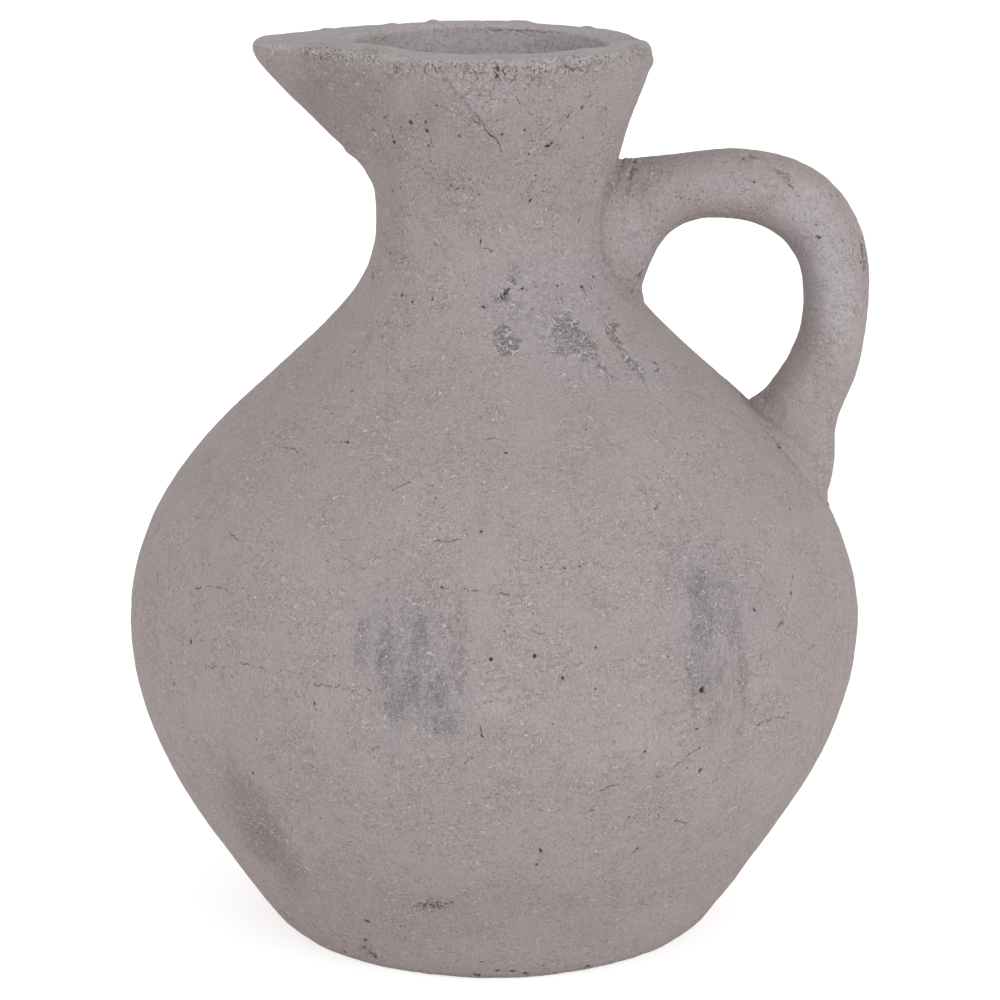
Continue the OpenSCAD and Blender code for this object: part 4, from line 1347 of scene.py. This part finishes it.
# The fold down the neck beside the spout, and the soft ridge that runs along it
FOLD = ((446, 80), (452, 86), (462, 97), (470, 107), (480, 121))
FOLD_RIDGE = tuple((u + 6, v - 5) for u, v in FOLD)
# The fold and its ridge, two scars at the throat, the smudge above the foot and a scrape on it:
# half width, depth, darkness, wobble, then the pixels along them
BODY_MARKS = (
    (3.0, -0.5, 0.0, 0.5, *FOLD_RIDGE), (1.0, 0.35, 0.12, 0.7, *FOLD),
    (1.1, 0.35, 0.6, 0.9, (499, 300), (506, 296)), (0.8, 0.35, 0.55, 0.9, (506, 292), (505, 301)),
    (0.35, 0.5, 0.5, 1.2, (414, 908), (424, 905), (436, 907), (450, 904)),
    (0.45, -0.25, 0.0, 0.4, (656, 962), (690, 950), (704, 938)),
)
# Small pits of the smudge above the foot, and nicks low on the foot: u, v, radius in mm
SMUDGE_PITS = (
    (418, 904, 0.4), (424, 908, 0.55), (428, 902, 0.45), (433, 907, 0.7), (438, 903, 0.5),
    (440, 910, 0.4), (446, 904, 0.6), (452, 902, 0.4), (430, 912, 0.35), (413, 910, 0.4),
)
FOOT_NICKS = (
    (367, 922, 0.9), (366, 941, 1.0), (371, 954, 1.4), (364, 948, 1.0), (375, 958, 1.0), (286, 915, 1.2),
    (293, 921, 0.9), (476, 976, 1.4), (498, 971, 0.8), (512, 971, 0.8), (587, 968, 1.2), (640, 954, 0.9),
    (610, 963, 0.8), (526, 974, 1.1), (544, 966, 0.6), (456, 962, 0.5), (482, 962, 0.5), (346, 953, 0.7),
)


def add_lines(marks, place):
    """Adds marks given by pixels, each pixel put on the clay by place."""
    for width, depth, dark, wobble, *pixels in marks:
        add_mark([place(u, v) for u, v in pixels], width, depth, dark, wobble)


def add_body_marks():
    """The pores, cracks, folds, scars and nicks of the body."""
    for r, pixels in PORES.items():
        for u, v in pixels:
            dark = 0.75 + 0.25 * min(r, 1.0)
            add_mark([ray_to_clay(u, v)], r * PORE_WIDTH, r * PORE_DEPTH, dark, PORE_WOBBLE)
    for (width, depth), paths in CRACKS.items():
        for path in paths:
            points = [ray_to_clay(u, v) for u, v in path]
            add_mark(points, width * CRACK_FINENESS, depth * CRACK_DEPTH, CRACK_SHADE, CRACK_WOBBLE)
    add_lines(BODY_MARKS, ray_to_clay)
    for u, v, r in SMUDGE_PITS:
        add_mark([ray_to_clay(u, v)], r, r * 0.8, 0.6, 0.6)
    for u, v, r in FOOT_NICKS:
        add_mark([ray_to_clay(u, v)], r, r * 0.7, 0.8, 0.8)


# Marks at random: how many, the seed, the share of pores, the share left out in front, and where that begins
RANDOM_MARKS, RANDOM_SEED, PORE_SHARE, FRONT_LEFT_OUT, RANDOM_FRONT_Y = 230, 7, 0.55, 0.6, -20.0
RANDOM_LOW_Z, RANDOM_HIGH_Z = 6.0, 288.0


def add_random_marks():
    """Small pores and hairlines all over, more thinly where the photograph's own are placed."""
    draw = np.random.default_rng(RANDOM_SEED)
    for _ in range(RANDOM_MARKS):
        theta = draw.uniform(-math.pi, math.pi)
        z = draw.uniform(RANDOM_LOW_Z, RANDOM_HIGH_Z)
        p = outside(np.array([theta]), np.array([z]))[0]
        faces_view = p[1] < RANDOM_FRONT_Y
        if faces_view and draw.random() < FRONT_LEFT_OUT:
            continue
        if draw.random() < PORE_SHARE:
            r = draw.uniform(0.3, 0.75)
            add_mark([p], r * 0.9, r, 0.4 + 0.5 * r, 0.3)
        else:
            run = draw.uniform(2, 11)
            turn, rise = draw.normal(0, 1) * 0.5, draw.normal(0, 0.35)
            round_by = run / math.hypot(p[0], p[1]) * math.cos(turn)
            q = outside(np.array([theta + round_by]), np.array([min(z + run * rise, RANDOM_HIGH_Z)]))[0]
            add_mark([p, q], draw.uniform(0.15, 0.24), 0.25, 0.5, 0.6)


def handle_cloud():
    """Points all over the handle and the smeared clay at its ends, with their place in the view."""

    def spread(columns, rows):
        lines = np.meshgrid(np.linspace(0, 2 * math.pi, columns), np.linspace(0, 1, rows))
        return [line.ravel() for line in lines]

    a, t = spread(240, 500)
    b, s = spread(400, 60)
    p = np.concatenate([strap(a, t), smear_point(True, b, s), smear_point(False, b, s)])
    return (p,) + to_pixels(p)


HANDLE_CLOUD = handle_cloud()


def handle_point(u, v):
    """The nearest point of the handle that a pixel of the view shows."""
    p, pu, pv, depth = HANDLE_CLOUD
    near = np.hypot(pu - u, pv - v)
    front = np.where(near < near.min() + 1.2, depth, 1e9)
    return p[int(np.argmin(front))]


# Marks on the handle: half width, depth, darkness, wobble, then the pixels along them
HANDLE_MARKS = (
    (0.5, 0.6, 0.85, 0.6, (815, 237), (819, 239)), (0.45, 0.45, 0.8, 0.3, (756, 182)),
    (0.5, 0.5, 0.8, 0.3, (863, 262)), (0.6, 0.6, 0.8, 0.3, (779, 450)), (0.4, 0.4, 0.7, 0.3, (700, 250)),
    (0.45, 0.5, 0.8, 0.3, (643, 266)), (0.7, 0.8, 0.85, 0.4, (641, 275), (640, 279)),
    (0.6, 0.5, 0.5, 0.5, (634, 288), (633, 293)),
    (0.85, 0.7, 0.22, 0.3, (631, 167), (629, 175), (627, 184), (626, 191)),
    (0.25, 0.3, 0.4, 0.3, (631, 168), (629, 176)), (0.3, 0.3, 0.45, 0.3, (632, 168), (635, 168)),
    (0.3, 0.5, 0.65, 0.2, (623, 192), (630, 197)), (0.3, 0.3, 0.35, 0.2, (630, 197), (634, 192)),
    (0.6, -0.35, 0.0, 0.2, (623, 195), (630, 200)), (0.45, 0.4, 0.5, 0.5, (620, 165)),
    (0.35, 0.3, 0.5, 0.4, (617, 171)), (0.35, 0.3, 0.45, 0.4, (619, 175)),
    (0.9, -0.9, 0.15, 0.0, (626, 160)), (1.0, -1.0, 0.1, 0.0, (631, 160)),
    (0.9, -0.9, 0.1, 0.0, (638, 160)), (0.6, 1.0, 0.8, 0.2, (634, 161)),
    (0.8, 0.3, 0.45, 0.8, (862, 240), (866, 262), (866, 272)),
    (0.4, 0.4, 0.6, 0.5, (742, 156), (750, 161)), (0.5, 0.4, 0.5, 0.6, (790, 186), (800, 196)),
)
# The seams: whether at the root, how far out, half width, depth, darkness
SEAMS = ((True, 1.2, 2.2, 0.4, 0.05), (False, 0.4, 0.5, 0.25, 0.08))
SEAM_WOBBLE = 0.5


def add_seam_marks():
    """The soft valley beside the smeared root, and the fine line beside the pressed foot."""
    turns = np.linspace(0.25, math.pi, 22)
    for at_root, away, width, depth, dark in SEAMS:
        for side in (1, -1):
            ring = end_ring(at_root, side * turns, smear_reach(at_root, turns) + away)
            add_mark(list(ring), width, depth, dark, SEAM_WOBBLE)


# The angles in degrees of the mouth's line, its height, and its half width, depth, darkness and wobble
MOUTH_LINE_ANGLES, MOUTH_LINE_Z, MOUTH_LINE = (50, 96), 297.6, (0.45, 0.3, 0.45, 0.5)


def add_mouth_line():
    """A line of painted shade under the mouth's edge at the back, cut a little into it."""
    turns = np.radians(np.linspace(*MOUTH_LINE_ANGLES, 12))
    line = np.stack([MOUTH_R * np.cos(turns), MOUTH_R * np.sin(turns), 0 * turns + MOUTH_LINE_Z], 1)
    add_mark(list(line), *MOUTH_LINE)


# Small lumps and dips on the rim's back edge and beside the handle: x, y, z, half width and rise
RIM_LUMPS = (
    (-20.5, 46.0, 299.0, 2.2, 0.7), (-57.0, 25.0, 299.5, 3.0, 0.5), (-61.5, 22.0, 299.5, 1.6, -0.5),
    (-35.0, 38.5, 299.5, 2.5, 0.4), (10.0, 49.0, 299.5, 4.0, 0.4), (33.0, 38.0, 299.0, 2.5, 0.5),
    (47.5, -12.0, 297.0, 2.0, 0.9), (51.0, -6.0, 293.0, 2.2, 0.8),
)


def add_rim_lumps():
    """The lumps and dips of the rim."""
    for x, y, z, width, rise in RIM_LUMPS:
        add_mark([(x, y, z)], width, -rise, 0.0)


add_body_marks()
add_lines(HANDLE_MARKS, handle_point)
add_seam_marks()
add_rim_lumps()
add_mouth_line()
add_random_marks()

body_clay = clay_material("stoneware_body", (1.0, 1.0, 1.0))
rim_clay = clay_material("stoneware_rim", (0.97, 0.97, 0.975), 1.1)
handle_clay = clay_material("stoneware_handle", (1.0, 1.0, 1.0), 1.0, 0.2)
luting_clay = clay_material("stoneware_luting", (0.99, 0.985, 0.985))

base_piece(body_clay)
# Each band: node, surface, lowest and highest level, step of its rows, number of columns, the height where
# those are evenly spaced, and how finely its cells are cut near a mark
for band in (
        ("lower_bowl", outside, BASE_T, JOIN_Z, 1.45, 540, 100.0, 5),
        ("shoulder", outside, JOIN_Z, THROAT_Z, 1.53, 484, 125.0, 5),
        ("neck", neck_outside, THROAT_Z, RIM_BASE_Z, 0.85, 400, 255.0, 3)):
    thrown_piece(*band, body_clay)
spout_patch("spout_clay", SPOUT_LOW_Z, RIM_BASE_Z, 84, "spout", body_clay)
spout_patch("spout_heel_clay", HEEL_LOW_Z, SPOUT_LOW_Z, 36, "spout_heel_fillet", luting_clay)
rim_piece(rim_clay)
handle_piece(handle_clay)
smear_piece("handle_root_smear", True, "handle_root_fillet", luting_clay)
smear_piece("handle_foot_smear", False, "handle_foot_fillet", luting_clay)

make_stage()
make_camera()
bpy.context.scene.view_settings.view_transform = "Standard"
